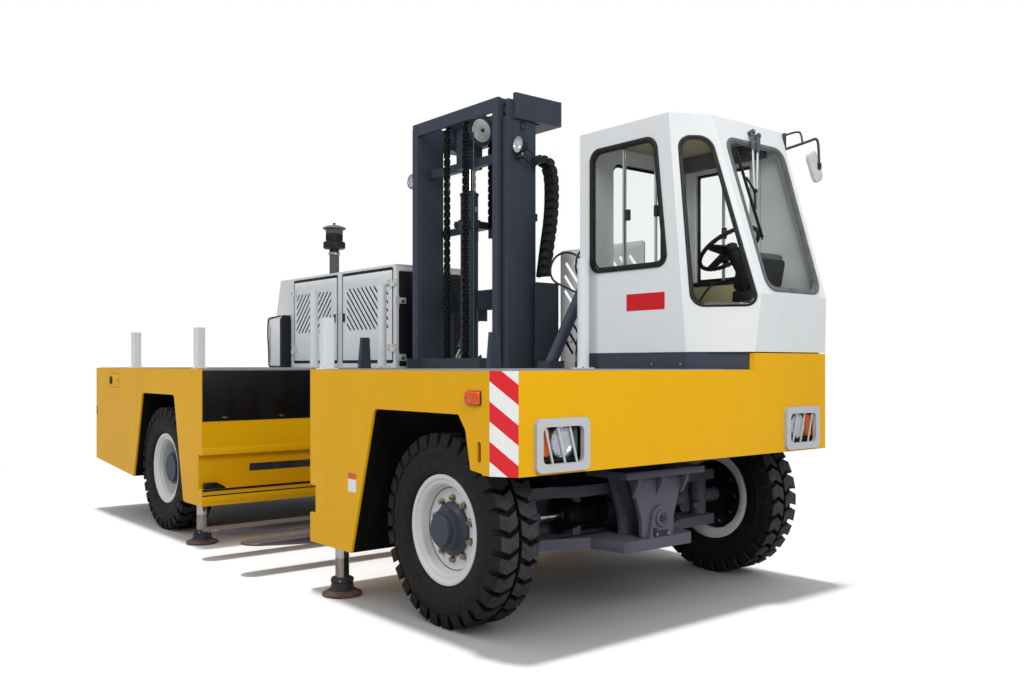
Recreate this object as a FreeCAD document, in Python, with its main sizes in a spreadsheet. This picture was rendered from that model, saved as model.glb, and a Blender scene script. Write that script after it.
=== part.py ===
"""A side loader forklift: a flat-decked truck whose mast reaches out sideways from a well.

Frame: +X forwards (the cab end), +Y to the machine's left, away from the load side,
+Z up, origin on the ground under the middle of the chassis. Millimetres.
"""
import FreeCAD, Part
import math
import os
import re
import Sketcher

doc = FreeCAD.newDocument("SideLoader")

# ---------------------------------------------------------------- driving dimensions

SIZES = {
    # chassis
    "vehicle_length": 6450,
    "vehicle_width": 2700,
    "deck_top": 1385,
    "deck_depth": 222,
    "skin": 20,
    "seat_gap": 0.3,
    "bore_gap": 0.05,
    "well_centre": 363,
    "well_width": 1777,
    "beam_width": 340,
    "beam_depth": 745,
    "rail_low": 442,
    "rail_high": 709,
    "rail_recess": 70,
    "corner_along": 133,
    "corner_across": 74,
    "bumper_low": 870,
    "bumper_thick": 40,
    "raised_panel": 103,
    # wheels and axles
    "front_axle_x": 2543,
    "rear_axle_x": -1522,
    "tyre_radius": 525,
    "tyre_width": 275,
    "front_wheel_y": 1130,
    "rear_wheel_y": 1163,
    "rim_seat": 258,
    "rim_flange": 300,
    "rim_width": 220,
    "kingpin_y": 885,
    "spindle_radius": 48,
    "front_hub": 118,
    "rear_hub": 70,
    "hub_cap": 15,
    "steer_bar": 25,
    # jacks
    "jack_pad_radius": 122,
    "jack_rod_radius": 42.5,
    "jack_inset": 65,
    "jack_rear_x": -680,
    "jack_front_x": 1543,
    # hood and cab
    "hood_near": 500,
    "hood_top": 2335,
    "hood_length": 2593,
    "hood_wall": 30,
    "cleaner_back": 1348,
    "cleaner_y": 620,
    "cab_near": 350,
    "cab_length": 1278,
    "cab_floor": 1495,
    "cab_waist": 1850,
    "cab_roof": 3003,
    "cab_wall": 40,
    "wheel_ring": 215,
    "hose_radius": 8,
    # mast
    "mast_offset": 61,
    "mast_half": 670,
    "mast_front": 505,
    "mast_depth": 285,
    "mast_foot": 190,
    "mast_top": 3500,
    "inner_front": 460,
    "upright_wall": 24,
    "flange": 35,
    "lift_cylinder_radius": 75,
    "lift_cylinder_top": 2860,
    "lift_y": 632,
    "rod_radius": 50,
    "sheave_radius": 140,
    "sheave_z": 3360,
    "chain_inner": 108,
    "chain_outer": 152,
    "chain_thick": 14,
    "pivot_y": 700,
    "pivot_z": 330,
    "pivot_pin": 45,
    "frame_top": 2072,
    "frame_back": 985,
    # forks
    "fork_spacing": 675,
    "fork_width": 180,
    "fork_bottom": 160,
    "fork_thick": 60,
    "fork_tip": -1540,
    "fork_heel": 330,
    "tilt_offset": 270,
    "tilt_pin": 18,
    # posts
    "post_radius": 40,
    "post_height": 750,
    "stake_height": 330,
}

# lengths worked out from the driving dimensions, put into every formula by name
NAMED = {
    "front_end": "vehicle_length / 2",
    "rear_end": "-vehicle_length / 2",
    "load_side": "-vehicle_width / 2",
    "far_side": "vehicle_width / 2",
    "well_front": "well_centre + well_width / 2",
    "well_rear": "well_centre - well_width / 2",
    "arch_top": "deck_top - deck_depth",
    "beam_near": "far_side - beam_width",
    "beam_low": "deck_top - beam_depth",
    "rail_mid": "(rail_low + rail_high) / 2",
    "mast_x": "well_centre - mast_offset",
    "mast_back": "mast_front + mast_depth",
    "fork_top": "fork_bottom + fork_thick",
    "jack_y": "load_side + jack_inset",
    "hood_front": "rear_end + hood_length",
    "cleaner_x": "hood_front - cleaner_back",
    "cab_rear": "front_end - cab_length",
}

sheet = doc.addObject("Spreadsheet::Sheet", "Sizes")
for row, (alias, value) in enumerate(SIZES.items(), start=1):
    sheet.set(f"A{row}", alias)
    sheet.set(f"B{row}", str(value))
    sheet.setAlias(f"B{row}", alias)
doc.recompute()


def formula(text):
    """A FreeCAD expression from a text that names sizes in plain words."""
    def word(match):
        name = match.group(0)
        if name in NAMED:
            return "(" + formula(NAMED[name]) + ")"
        return "Sizes." + name if name in SIZES else name
    return re.sub(r"[a-z_]+", word, str(text))


def number(text):
    """The present value of a formula."""
    return float(sheet.evalExpression(formula(text)))


def bind(thing, prop, text):
    thing.setExpression(prop, formula(text))


def place(thing, x=0, y=0, z=0, axis=None, angle=0):
    """Put an object at a point given by formulas, turned about an axis."""
    if axis:
        turn = FreeCAD.Rotation(FreeCAD.Vector(*axis), angle)
        thing.Placement = FreeCAD.Placement(FreeCAD.Vector(), turn)
    for letter, text in zip("xyz", (x, y, z)):
        bind(thing, f".Placement.Base.{letter}", text)
    return thing


# ---------------------------------------------------------------- building blocks

def box(x, y, z):
    """A block between two formulas on each axis."""
    block = doc.addObject("Part::Box", "Block")
    for prop, span in zip(("Length", "Width", "Height"), (x, y, z)):
        bind(block, prop, f"({span[1]}) - ({span[0]})")
    return place(block, x[0], y[0], z[0])


TURN = {"X": ((0, 1, 0), 90), "Y": ((1, 0, 0), -90), "Z": (None, 0)}


def rod(axis, across, radius, span):
    """A round bar along one axis; across holds its two other coordinates."""
    bar = doc.addObject("Part::Cylinder", "Bar")
    bind(bar, "Radius", radius)
    bind(bar, "Height", f"({span[1]}) - ({span[0]})")
    point = {"X": (span[0], *across), "Y": (across[0], span[0], across[1]), "Z": (*across, span[0])}[axis]
    return place(bar, *point, *TURN[axis])


def outline(sketch, points):
    """A closed polygon whose corners are held by formulas."""
    spots = [FreeCAD.Vector(number(a), number(b), 0) for a, b in points]
    count = len(spots)
    for i in range(count):
        sketch.addGeometry(Part.LineSegment(spots[i], spots[(i + 1) % count]))
    for i in range(count):
        sketch.addConstraint(Sketcher.Constraint("Coincident", i, 2, (i + 1) % count, 1))
    for i, (a, b) in enumerate(points):
        for kind, text, value in (("DistanceX", a, spots[i].x), ("DistanceY", b, spots[i].y)):
            index = sketch.addConstraint(Sketcher.Constraint(kind, -1, 1, i, 1, value))
            bind(sketch, f"Constraints[{index}]", text)
    return sketch


def origin_plane(body, role):
    return next(f for f in body.Origin.OriginFeatures if f.Role == role)


# how an outline's own plane lies in the machine, and the axis that it is padded along
LIE = {
    "XY": ((1, 0, 0), 0),
    "XZ": ((1, 0, 0), 90),
    "YZ": ((1, 1, 1), 120),
}


def prism(plane, points, span, rounds=(), radius=40):
    """An outline on a plane, padded between two formulas, some corners rounded."""
    body = doc.addObject("PartDesign::Body", "Plate")
    sketch = body.newObject("Sketcher::SketchObject", "Outline")
    sketch.AttachmentSupport = [(origin_plane(body, "XY_Plane"), "")]
    sketch.MapMode = "FlatFace"
    outline(sketch, points)
    pad = body.newObject("PartDesign::Pad", "Pad")
    pad.Profile = sketch
    bind(pad, "Length", f"({span[1]}) - ({span[0]})")
    if rounds:
        doc.recompute()
        edges = [corner_edge(pad.Shape, points[i]) for i in rounds]
        fillet = body.newObject("PartDesign::Fillet", "Rounding")
        fillet.Base = (pad, edges)
        bind(fillet, "Radius", radius)
    axis, angle = LIE[plane]
    # the XZ outline is padded towards -Y, so it starts from the far end of its span
    start = {"XY": (0, 0, span[0]), "XZ": (0, span[1], 0), "YZ": (span[0], 0, 0)}[plane]
    return place(body, *start, axis, angle)


def corner_edge(shape, point):
    """The name of the padded edge that stands on one corner of an outline."""
    spot = FreeCAD.Vector(number(point[0]), number(point[1]), 0)
    for index, edge in enumerate(shape.Edges, start=1):
        ends = [v.Point for v in edge.Vertexes]
        flat = [FreeCAD.Vector(p.x, p.y, 0) for p in ends]
        if len(ends) == 2 and all(p.distanceToPoint(spot) < 0.01 for p in flat):
            return f"Edge{index}"
    raise ValueError(f"no corner at {point}")


def turned(points, side, x, y, z):
    """A profile of (axial, radius) points turned about the wheel's axis; side is +1 for the left."""
    sketch = doc.addObject("Sketcher::SketchObject", "Profile")
    outline(sketch, points)
    ring = doc.addObject("Part::Revolution", "Turned")
    ring.Source = sketch
    ring.Axis = (1, 0, 0)
    ring.Angle = 360
    ring.Solid = True
    return place(ring, x, y, z, (0, 0, 1), 90 * side)


def fuse(*pieces):
    whole = doc.addObject("Part::MultiFuse", "Fusion")
    whole.Shapes = list(pieces)
    whole.Refine = True
    return whole


def cut(base, *tools):
    result = doc.addObject("Part::Cut", "Cut")
    result.Base = base
    result.Tool = tools[0] if len(tools) == 1 else fuse(*tools)
    result.Refine = True
    return result


def common(first, second):
    shared = doc.addObject("Part::Common", "Common")
    shared.Base = first
    shared.Tool = second
    return shared


def group(*pieces):
    """Like pieces of one body that don't touch each other."""
    several = doc.addObject("Part::Compound", "Group")
    several.Links = list(pieces)
    return several


PARTS = {}


def part(name, thing):
    """Name a finished sub-part."""
    thing.Label = name
    PARTS[name] = thing
    return thing


def mirrored(side, near, far):
    """A span across the mast, measured out from its middle, on one side or the other."""
    if side > 0:
        return f"mast_x + {near}", f"mast_x + {far}"
    return f"mast_x - ({far})", f"mast_x - ({near})"


# ---------------------------------------------------------------- chassis

WIDTH = ("load_side", "far_side")
RAIL = ("rail_low", "rail_high")
SIDE_SKIN = ("load_side", "load_side + skin")
LAMPS = ("load_side + 170", "far_side - 460")


def rear_section():
    """The box behind the well: rear wheel arches, rail recess, rising tail."""
    profile = [
        ("rear_end", "deck_top"), ("well_rear", "deck_top"), ("well_rear", "310"),
        ("rear_axle_x + 652", "310"), ("rear_axle_x + 609", "321"),
        ("rear_axle_x + 401", "arch_top + 5"), ("rear_axle_x - 365", "arch_top + 5"),
        ("rear_axle_x - 594", "408"), ("rear_end", "496"),
    ]
    body = prism("XZ", profile, WIDTH, rounds=(5, 6))
    recess = box(("well_rear - rail_recess", "well_rear"), ("load_side", "beam_near"), RAIL)
    return part("rear_section", cut(body, recess, jack_bore("jack_rear_x")))


def jack_bore(x):
    return rod("Z", (x, "jack_y"), "jack_rod_radius + seat_gap", ("200", "760"))


def front_section():
    """The box ahead of the well, its deck, side panels with arches, and the bumper."""
    rear_box = prism("XZ", [
        ("well_front", "deck_top"), ("well_front", "296"), ("front_axle_x - 781", "296"),
        ("front_axle_x - 522", "arch_top"), ("front_axle_x - 522", "deck_top"),
    ], WIDTH)
    deck = box(("well_front", "front_end"), WIDTH, ("arch_top", "deck_top"))
    panel_profile = [
        ("front_axle_x - 800", "deck_top"), ("front_axle_x - 781", "296"),
        ("front_axle_x - 522", "arch_top"), ("front_axle_x + 291", "arch_top"),
        ("front_axle_x + 352", "arch_top - 77"), ("front_axle_x + 394", "bumper_low + 19"),
        ("front_axle_x + 547", "bumper_low"), ("front_end", "bumper_low"), ("front_end", "deck_top"),
    ]
    near = prism("XZ", panel_profile, SIDE_SKIN, rounds=(2,))
    far = prism("XZ", panel_profile, ("far_side - skin", "far_side"), rounds=(2,))
    height = ("bumper_low", "deck_top")
    bumper = box(("front_end - bumper_thick", "front_end"), WIDTH, height)
    corner = box(("front_end - corner_along - 60", "front_end"),
                 ("load_side", "load_side + corner_across + 40"), height)
    raised = box(("front_end - bumper_thick", "front_end"), ("far_side - 756", "far_side"),
                 ("deck_top", "deck_top + raised_panel"))
    body = fuse(rear_box, deck, near, far, bumper, corner, raised)
    slice_off = prism("XY", [
        ("front_end - corner_along", "load_side"), ("front_end", "load_side + corner_across"),
        ("front_end + 50", "load_side + corner_across"), ("front_end + 50", "load_side - 50"),
        ("front_end - corner_along", "load_side - 50"),
    ], ("bumper_low - 50", "deck_top + 50"))
    recess = box(("well_front", "well_front + rail_recess"), ("load_side + skin", "beam_near"), RAIL)
    mouth = box(("well_front", "well_front + rail_recess"), SIDE_SKIN, ("rail_low + 39", "rail_high - 52"))
    slot = box(("front_axle_x + 452", "front_axle_x + 482"), SIDE_SKIN,
               ("bumper_low + 60", "bumper_low + 165"))
    lamps = [box(("front_end - bumper_thick + 5", "front_end"), (f"{low} + 42", f"{low} + 318"),
                 ("bumper_low + 54", "bumper_low + 238")) for low in LAMPS]
    return part("front_section", cut(body, slice_off, recess, mouth, slot, *lamps, jack_bore("jack_front_x")))


def far_beam():
    """The deep beam along the far side that joins the two sections past the well, and its tank."""
    span = ("well_rear", "well_front")
    part("main_beam", box(span, ("beam_near", "far_side"), ("beam_low", "deck_top")))
    part("fuel_tank", prism("YZ", [
        ("beam_near + 50", "beam_low"), ("far_side - 10", "beam_low"), ("far_side - 10", "380"),
        ("far_side - 60", "330"), ("beam_near + 100", "330"), ("beam_near + 50", "380"),
    ], ("well_rear + 80", "well_front - 80")))


rear_section()
front_section()
far_beam()

# ---------------------------------------------------------------- axles and wheels


def rear_axle():
    """A fixed drive axle: tube, differential bulge and the seats that bolt it up."""
    centre = ("rear_axle_x", "tyre_radius")
    tube = rod("Y", centre, "105", ("-rear_wheel_y + 125", "rear_wheel_y - 125"))
    tip = "rear_wheel_y + rear_hub - hub_cap - seat_gap"
    spindle = rod("Y", centre, "spindle_radius", (f"-({tip})", tip))
    bulge = doc.addObject("Part::Sphere", "Bulge")
    bind(bulge, "Radius", "245")
    place(bulge, "rear_axle_x", "60", "tyre_radius")
    seats = [box(("rear_axle_x - 110", "rear_axle_x + 110"), (f"{y} - 70", f"{y} + 70"),
                 ("tyre_radius", "arch_top + 5")) for y in ("560", "-560")]
    return part("rear_axle", fuse(tube, spindle, bulge, *seats))


STEER_LINE = ("front_axle_x + 40", "530")
PIVOT_LINE = ("0", "660")


def front_axle():
    """A steer axle of two plates around the kingpins, hung from a centre bracket."""
    beam_half = "kingpin_y + 75"
    plate = [
        ("front_axle_x - 130", "-300"), ("front_axle_x - 80", f"-({beam_half})"),
        ("front_axle_x + 80", f"-({beam_half})"), ("front_axle_x + 130", "-300"),
        ("front_axle_x + 130", "300"), ("front_axle_x + 80", beam_half),
        ("front_axle_x - 80", beam_half), ("front_axle_x - 130", "300"),
    ]
    low = prism("XY", plate, ("345", "410"))
    high = prism("XY", plate, ("645", "710"))
    back_wall = box(("front_axle_x - 110", "front_axle_x - 70"), ("-620", "620"), ("410", "645"))
    bore = rod("Y", STEER_LINE, "steer_bar + bore_gap", ("-430", "430"))
    cylinder = rod("Y", STEER_LINE, "70", ("-420", "420"))
    mounts = [box(("front_axle_x - 70", "front_axle_x + 90"), (f"{y} - 30", f"{y} + 30"), ("410", "645"))
              for y in ("330", "-330")]
    pivot = rod("X", PIVOT_LINE, "70", ("front_axle_x - 330", "front_axle_x + 330"))
    part("front_axle", cut(fuse(low, high, back_wall, cylinder, *mounts, pivot), bore))
    return part("steering_rod", rod("Y", STEER_LINE, "steer_bar", ("-690", "690")))


def axle_hanger():
    """Two brackets under the deck that hold the steer axle's pivot pin."""
    brackets = []
    for near, far in (("-325", "-265"), ("265", "325")):
        plate = prism("YZ", [
            ("-330", "arch_top"), ("-120", "600"), ("-90", "560"), ("90", "560"),
            ("120", "600"), ("330", "arch_top"),
        ], (f"front_axle_x + {near}", f"front_axle_x + {far}"))
        hole = rod("X", PIVOT_LINE, "70 + seat_gap", (f"front_axle_x + {near}", f"front_axle_x + {far}"))
        brackets.append(cut(plate, hole))
    return part("axle_hanger", group(*brackets))


def knuckle(name, side):
    """Kingpin block, stub spindle and steering arm of one front wheel."""
    y = f"{side} * kingpin_y"
    post = rod("Z", ("front_axle_x", y), "55", ("410 + seat_gap", "645 - seat_gap"))
    tip = "front_wheel_y + front_hub - hub_cap - seat_gap"
    spindle_span = ("kingpin_y + 30", tip) if side > 0 else (f"-({tip})", "-kingpin_y - 30")
    spindle = rod("Y", ("front_axle_x", "tyre_radius"), "spindle_radius", spindle_span)
    arm_y = f"{side} * (kingpin_y - 130)"
    arm = prism("XY", [
        ("front_axle_x", f"{y} - 45"), ("front_axle_x + 95", f"{arm_y} - 25"),
        ("front_axle_x + 95", f"{arm_y} + 25"), ("front_axle_x", f"{y} + 45"),
    ], ("470", "500"))
    return part(name, fuse(post, spindle, arm))


TYRE = [
    ("-rim_width / 2 + 10", "rim_seat"), ("-rim_width / 2 + 10", "rim_flange + seat_gap"),
    ("-tyre_width / 2", "rim_flange + 40"),
    ("-tyre_width / 2", "tyre_radius - 50"), ("-tyre_width / 2 + 20", "tyre_radius"),
    ("tyre_width / 2 - 20", "tyre_radius"), ("tyre_width / 2", "tyre_radius - 50"),
    ("tyre_width / 2", "rim_flange + 40"), ("rim_width / 2 - 10", "rim_flange + seat_gap"),
    ("rim_width / 2 - 10", "rim_seat"),
]


def rim_profile(disc, hub_end, hub_radius):
    """Half section of a rim: two flanges, the seat, a disc at an axial place, and its hub."""
    lip = "rim_width / 2"
    return [
        (disc, "spindle_radius + seat_gap"), (disc, "rim_seat - 25"), (f"-{lip}", "rim_seat - 25"),
        (f"-{lip}", "rim_flange"), (f"-{lip} + 10", "rim_flange"), (f"-{lip} + 10", "rim_seat"),
        (f"{lip} - 10", "rim_seat"), (f"{lip} - 10", "rim_flange"), (lip, "rim_flange"),
        (lip, "rim_seat - 25"), (f"{disc} + 18", "rim_seat - 25"), (f"{disc} + 18", hub_radius),
        (hub_end, f"{hub_radius} - 20"), (hub_end, "0"), (f"{hub_end} - hub_cap", "0"),
        (f"{hub_end} - hub_cap", "spindle_radius + seat_gap"),
    ]


def wheel(place_name, side, x, y, disc, hub_end, hub_radius):
    """One wheel: tyre, and a rim with its disc and hub."""
    at = (x, f"{side} * {y}", "tyre_radius")
    part(f"tyre_{place_name}", turned(TYRE, side, *at))
    part(f"rim_{place_name}", turned(rim_profile(disc, hub_end, hub_radius), side, *at))


rear_axle()
front_axle()
axle_hanger()
for side, hand in ((1, "left"), (-1, "right")):
    knuckle(f"knuckle_{hand}", side)
    wheel(f"front_{hand}", side, "front_axle_x", "front_wheel_y", "20", "front_hub", "118")
    wheel(f"rear_{hand}", side, "rear_axle_x", "rear_wheel_y", "-70", "rear_hub", "150")

# ---------------------------------------------------------------- jacks


def jack(name, x):
    """A stabiliser leg: pad, collar and a chromed rod that slides up into the section."""
    at = (x, "jack_y")
    pad = rod("Z", at, "jack_pad_radius", ("0", "28"))
    collar = rod("Z", at, "67", ("28", "104"))
    shaft = rod("Z", at, "jack_rod_radius", ("104", "520"))
    return part(name, fuse(pad, collar, shaft))


jack("jack_leg_rear", "jack_rear_x")
jack("jack_leg_front", "jack_front_x")

# ---------------------------------------------------------------- engine hood

def hinge(x, side, face, out, reach, z):
    """A hinge on a wall's outer face: the wall's lug with its pin, and the door's strap around it.

    side is +1 where the door lies ahead of the pin; out is the wall's outward direction along Y;
    reach is the pin's distance from the wall.
    """
    y = f"{face} + {out} * {reach}"
    outside = f"{face} + {out} * 2 * {reach}"
    upper, lower = (f"{z} - 2", f"{z} + 30"), (f"{z} - 40", f"{z} - 3")
    pin = rod("Z", (x, y), "5", (f"{z} - 40", f"{z} + 30"))
    lug = spread((x, f"{x} - {side} * 34"), (face, outside), lower, side, out)
    barrel = rod("Z", (x, y), f"{reach} - seat_gap", upper)
    strap = spread((x, f"{x} + {side} * 70"), (f"{face} + {out} * 4", outside), upper, -side, out)
    door = spread((f"{x} + {side} * 8", f"{x} + {side} * 70"),
                  (f"{face} - {out} * 2", f"{face} + {out} * 4"), upper, -side, out)
    hole = rod("Z", (x, y), "5 + seat_gap", (f"{z} - 10", f"{z} + 40"))
    return fuse(pin, lug), cut(fuse(barrel, strap, door), hole)


def spread(x, y, z, side, out):
    """A box whose X and Y spans may run either way."""
    if side > 0:
        x = x[::-1]
    if out < 0:
        y = y[::-1]
    return box(x, y, z)


DOOR_LOW = "deck_top + 70"
DOOR_HIGH = "hood_top - 45"
HOOD_DOORS = {"hood_door_rear": ("hood_front - 1992", "hood_front - 1071"),
              "hood_door_front": ("hood_front - 963", "hood_front - 53")}


def hood_block(inset):
    """The hood's outer body, or the hollow inside it when inset is the wall."""
    tail = [("rear_end + 7 + {0}", "deck_top"), ("rear_end + 279 + {0}", "hood_top - {0}"),
            ("hood_front - {0}", "hood_top - {0}"), ("hood_front - {0}", "deck_top")]
    points = [(x.format(inset), z.format(inset)) for x, z in tail]
    return prism("XZ", points, (f"hood_near + {inset}", f"far_side - {inset}"))


def engine_hood():
    """Sheet-metal hood on the rear deck, open for its doors."""
    shell = cut(hood_block("0"), hood_block("hood_wall"))
    openings = [box(span, ("hood_near - 20", "hood_near + hood_wall + 20"), (DOOR_LOW, DOOR_HIGH))
                for span in HOOD_DOORS.values()]
    fixed, moving = [], {}
    for name, (low, high) in HOOD_DOORS.items():
        leaf = box((f"{low} + 6", f"{high} - 6"), ("hood_near - 4", "hood_near + hood_wall - 8"),
                   (f"{DOOR_LOW} + 6", f"{DOOR_HIGH} - 6"))
        edge, side = (low, 1) if name == "hood_door_rear" else (high, -1)
        moving[name] = [leaf]
        for z in (f"{DOOR_LOW} + 120", f"{DOOR_HIGH} - 120"):
            lug, strap = hinge(edge, side, "hood_near", -1, "12", z)
            fixed.append(lug)
            moving[name].append(strap)
    part("engine_hood", fuse(cut(shell, *openings), *fixed))
    for name, pieces in moving.items():
        part(name, fuse(*pieces))


engine_hood()
part("engine_block", box(("hood_front - 1768", "hood_front - 618"), ("hood_near + 190", "far_side - 160"),
                         ("deck_top", "hood_top - 245")))
CLEANER = ("cleaner_x", "cleaner_y")
part("pre_cleaner", fuse(
    rod("Z", CLEANER, "49", ("hood_top", "hood_top + 260")),
    rod("Z", CLEANER, "118", ("hood_top + 255", "hood_top + 540")),
))
part("deck_box", box(("hood_front - 2428", "hood_front - 2058"), ("hood_near - 115", "hood_near - 10"),
                     ("deck_top", "deck_top + 565")))

# ---------------------------------------------------------------- cab


def level(z, corner_x, nose_x, nose_y, inset):
    """The cab's plan outline at one height, drawn in by a wall's thickness."""
    sketch = doc.addObject("Sketcher::SketchObject", "Level")
    outline(sketch, [
        (f"cab_rear + {inset}", f"cab_near + {inset}"),
        (f"{corner_x} - 0.4 * {inset}", f"cab_near + {inset}"),
        (f"{nose_x} - {inset}", f"{nose_y} + 0.4 * {inset}"),
        (f"{nose_x} - {inset}", f"far_side - {inset}"),
        (f"cab_rear + {inset}", f"far_side - {inset}"),
    ])
    bind(sketch, ".Placement.Base.z", z)
    return sketch


def cab_block(inset):
    """The cab's outer body, or a smaller one inside it."""
    loft = doc.addObject("Part::Loft", "CabBody")
    loft.Sections = [
        level(f"cab_floor + {inset}", "cab_rear + 945", "front_end", "594", inset),
        level("cab_waist", "cab_rear + 912", "front_end + 7", "650", inset),
        level(f"cab_roof - {inset}", "cab_rear + 804", "cab_rear + 938", "613", inset),
    ]
    loft.Solid = True
    loft.Ruled = True
    return loft


SIDE_WINDOW = [("cab_rear + 118", "cab_roof - 953"), ("cab_rear + 783", "cab_roof - 953"),
               ("cab_rear + 691", "cab_roof - 138"), ("cab_rear + 118", "cab_roof - 138")]
CORNER_TURN = 42
DOOR_SPAN = ("cab_rear + 130", "cab_rear + 800")
DOOR_RISE = ("cab_floor + 60", "cab_roof - 100")


def windows(ease="0"):
    """Cutting bodies for the near side, corner, windscreen and rear openings; ease rounds them more."""
    usual = f"70 + {ease}"
    near = prism("XZ", SIDE_WINDOW, ("cab_near - 60", "cab_near + 90"), rounds=(0, 1, 2, 3), radius=usual)
    high, low = "cab_roof - 143", "cab_waist + 32"
    screen = prism("YZ", [("730", low), ("far_side - 60", low), ("far_side - 60", high), ("690", high)],
                   ("cab_rear + 850", "front_end + 200"), rounds=(0, 1, 2, 3), radius=f"80 + {ease}")
    corner_low, corner_high = "cab_waist - 66", "cab_roof - 153"
    corner = prism("YZ", [("-205", corner_low), ("185", corner_low), ("-75", corner_high),
                          ("-275", corner_high)], ("0", "800"), rounds=(0, 1, 2, 3), radius=usual)
    facing = FreeCAD.Rotation(FreeCAD.Vector(0, 0, 1), -CORNER_TURN)
    corner.Placement = FreeCAD.Placement(FreeCAD.Vector(), facing * corner.Placement.Rotation)
    bind(corner, ".Placement.Base.x", "cab_rear + 803")
    bind(corner, ".Placement.Base.y", "cab_near + 458")
    back_low, back_high = "cab_waist + 150", "cab_roof - 153"
    sides = ("cab_near + 290", "far_side - 150")
    rear = prism("YZ", [(sides[0], back_low), (sides[1], back_low), (sides[1], back_high),
                        (sides[0], back_high)], ("cab_rear - 60", "cab_rear + 100"),
                 rounds=(0, 1, 2, 3), radius=usual)
    return [near, screen, corner, rear]


# routes of the hoses that loop out of the cab's rear wall: distance behind the wall, Y and Z
HOSES = {
    "hose_lower": [
        (20, 530, 2120), (97, 530, 2128), (187, 529, 2190), (297, 528, 2238), (412, 527, 2234),
        (485, 527, 2188), (517, 528, 2105), (469, 530, 2030), (367, 531, 1995), (262, 531, 1952),
        (150, 530, 1904), (20, 530, 1898),
    ],
    "hose_upper": [
        (20, 565, 2318), (97, 565, 2316), (177, 566, 2272), (247, 567, 2222), (279, 568, 2145),
        (257, 568, 2068), (190, 567, 2010), (107, 565, 1985), (20, 565, 1988),
    ],
}


def hose(name, route):
    """A hose of straight runs joined by tangent arcs, from one gland to the other."""
    wall = number("cab_rear")
    spots = [FreeCAD.Vector(wall - back, y, z) for back, y, z in route]
    edges, start, radii = [], spots[0], []
    for before, at, after in zip(spots, spots[1:], spots[2:]):
        one, two = (before - at).normalize(), (after - at).normalize()
        shorter = min((before - at).Length, (after - at).Length)
        half_turn = (math.pi - one.getAngle(two)) / 2
        reach = 0.45 * shorter
        radii.append(reach / math.tan(half_turn))
        middle = at + (one + two).normalize() * radii[-1] * (1 / math.cos(half_turn) - 1)
        edges.append(Part.LineSegment(start, at + one * reach).toShape())
        edges.append(Part.Arc(at + one * reach, middle, at + two * reach).toShape())
        start = at + two * reach
    edges.append(Part.LineSegment(start, spots[-1]).toShape())
    path = Part.Wire(edges)
    radius = number("hose_radius")
    ring = Part.Wire(Part.makeCircle(radius, spots[0], spots[1] - spots[0]))
    thing = doc.addObject("Part::Feature", "Hose")
    thing.Shape = path.makePipeShell([ring], True, False)
    full = math.pi * radius ** 2 * path.Length
    share = thing.Shape.Volume / full
    print(f"{name} length {path.Length:.0f}, radii {[round(r) for r in radii]}, volume ratio {share:.4f}")
    return part(name, thing)


def cab():
    """Hollow cab shell with its windows cut and the far side open for the door."""
    shell = cut(cab_block("0"), cab_block("cab_wall"))
    doorway = box(DOOR_SPAN, ("far_side - 60", "far_side + 40"), DOOR_RISE)
    hinges = [hinge(DOOR_SPAN[0], 1, "far_side", 1, "16", z)
              for z in (f"{DOOR_RISE[0]} + 150", f"{DOOR_RISE[1]} - 150")]
    glands = [rod("X", (end[1], end[2]), "hose_radius * 2", ("cab_rear - 20", "cab_rear + 5"))
              for route in HOSES.values() for end in (route[0], route[-1])]
    lugs = [lug for lug, strap in hinges]
    part("cab_shell", fuse(cut(shell, *windows(), doorway), *glands, *lugs))
    cab_door([strap for lug, strap in hinges])


pane = cut(cab_block("16"), cab_block("24"))
part("cab_glass", common(pane, fuse(*windows("2"))))
part("cab_plinth", prism("XY", [
    ("cab_rear + 5", "cab_near + 5"), ("cab_rear + 945", "cab_near + 5"), ("front_end - 45", "594"),
    ("front_end - 45", "far_side - 5"), ("cab_rear + 5", "far_side - 5"),
], ("deck_top", "cab_floor")))


def cab_door(straps):
    """Far-side door with its own window, hinged at its rear edge."""
    low, high = DOOR_SPAN
    leaf = box((f"{low} + 6", f"{high} - 6"), ("far_side - 38", "far_side"),
               (f"{DOOR_RISE[0]} + 6", f"{DOOR_RISE[1]} - 6"))
    window = ((f"{low} + 90", f"{high} - 90"), ("cab_waist + 170", f"{DOOR_RISE[1]} - 90"))
    light = box(window[0], ("far_side - 80", "far_side + 40"), window[1])
    part("cab_door", fuse(cut(leaf, light), *straps))
    part("cab_door_glass", box(window[0], ("far_side - 22", "far_side - 16"), window[1]))


cab()
for name, route in HOSES.items():
    hose(name, route)
FLOOR = "cab_floor + cab_wall"
SEAT_TOP = "cab_floor + 320"


def driver_seat():
    """Pedestal, cushion and low backrest as plain blocks."""
    middle = "far_side - 400"
    narrow, wide = [(f"{middle} - {half}", f"{middle} + {half}") for half in (190, 240)]
    pedestal = box(("cab_rear + 150", "cab_rear + 500"), narrow, (FLOOR, f"{SEAT_TOP} - 110"))
    cushion = box(("cab_rear + 80", "cab_rear + 560"), wide, (f"{SEAT_TOP} - 110", SEAT_TOP))
    back = box(("cab_rear + 60", "cab_rear + 170"), wide, (f"{SEAT_TOP} - 30", f"{SEAT_TOP} + 275"))
    return part("driver_seat", fuse(pedestal, cushion, back))


def console():
    """The dashboard's stand and the side console beside the seat."""
    dash = box(("front_end - 325", "front_end - 135"), ("far_side - 590", "far_side - 220"),
               (FLOOR, "cab_floor + 625"))
    levers = box(("cab_rear + 353", "cab_rear + 813"), ("cab_near + 110", "cab_near + 290"),
                 (FLOOR, "cab_floor + 495"))
    return part("console", fuse(dash, levers))


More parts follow.
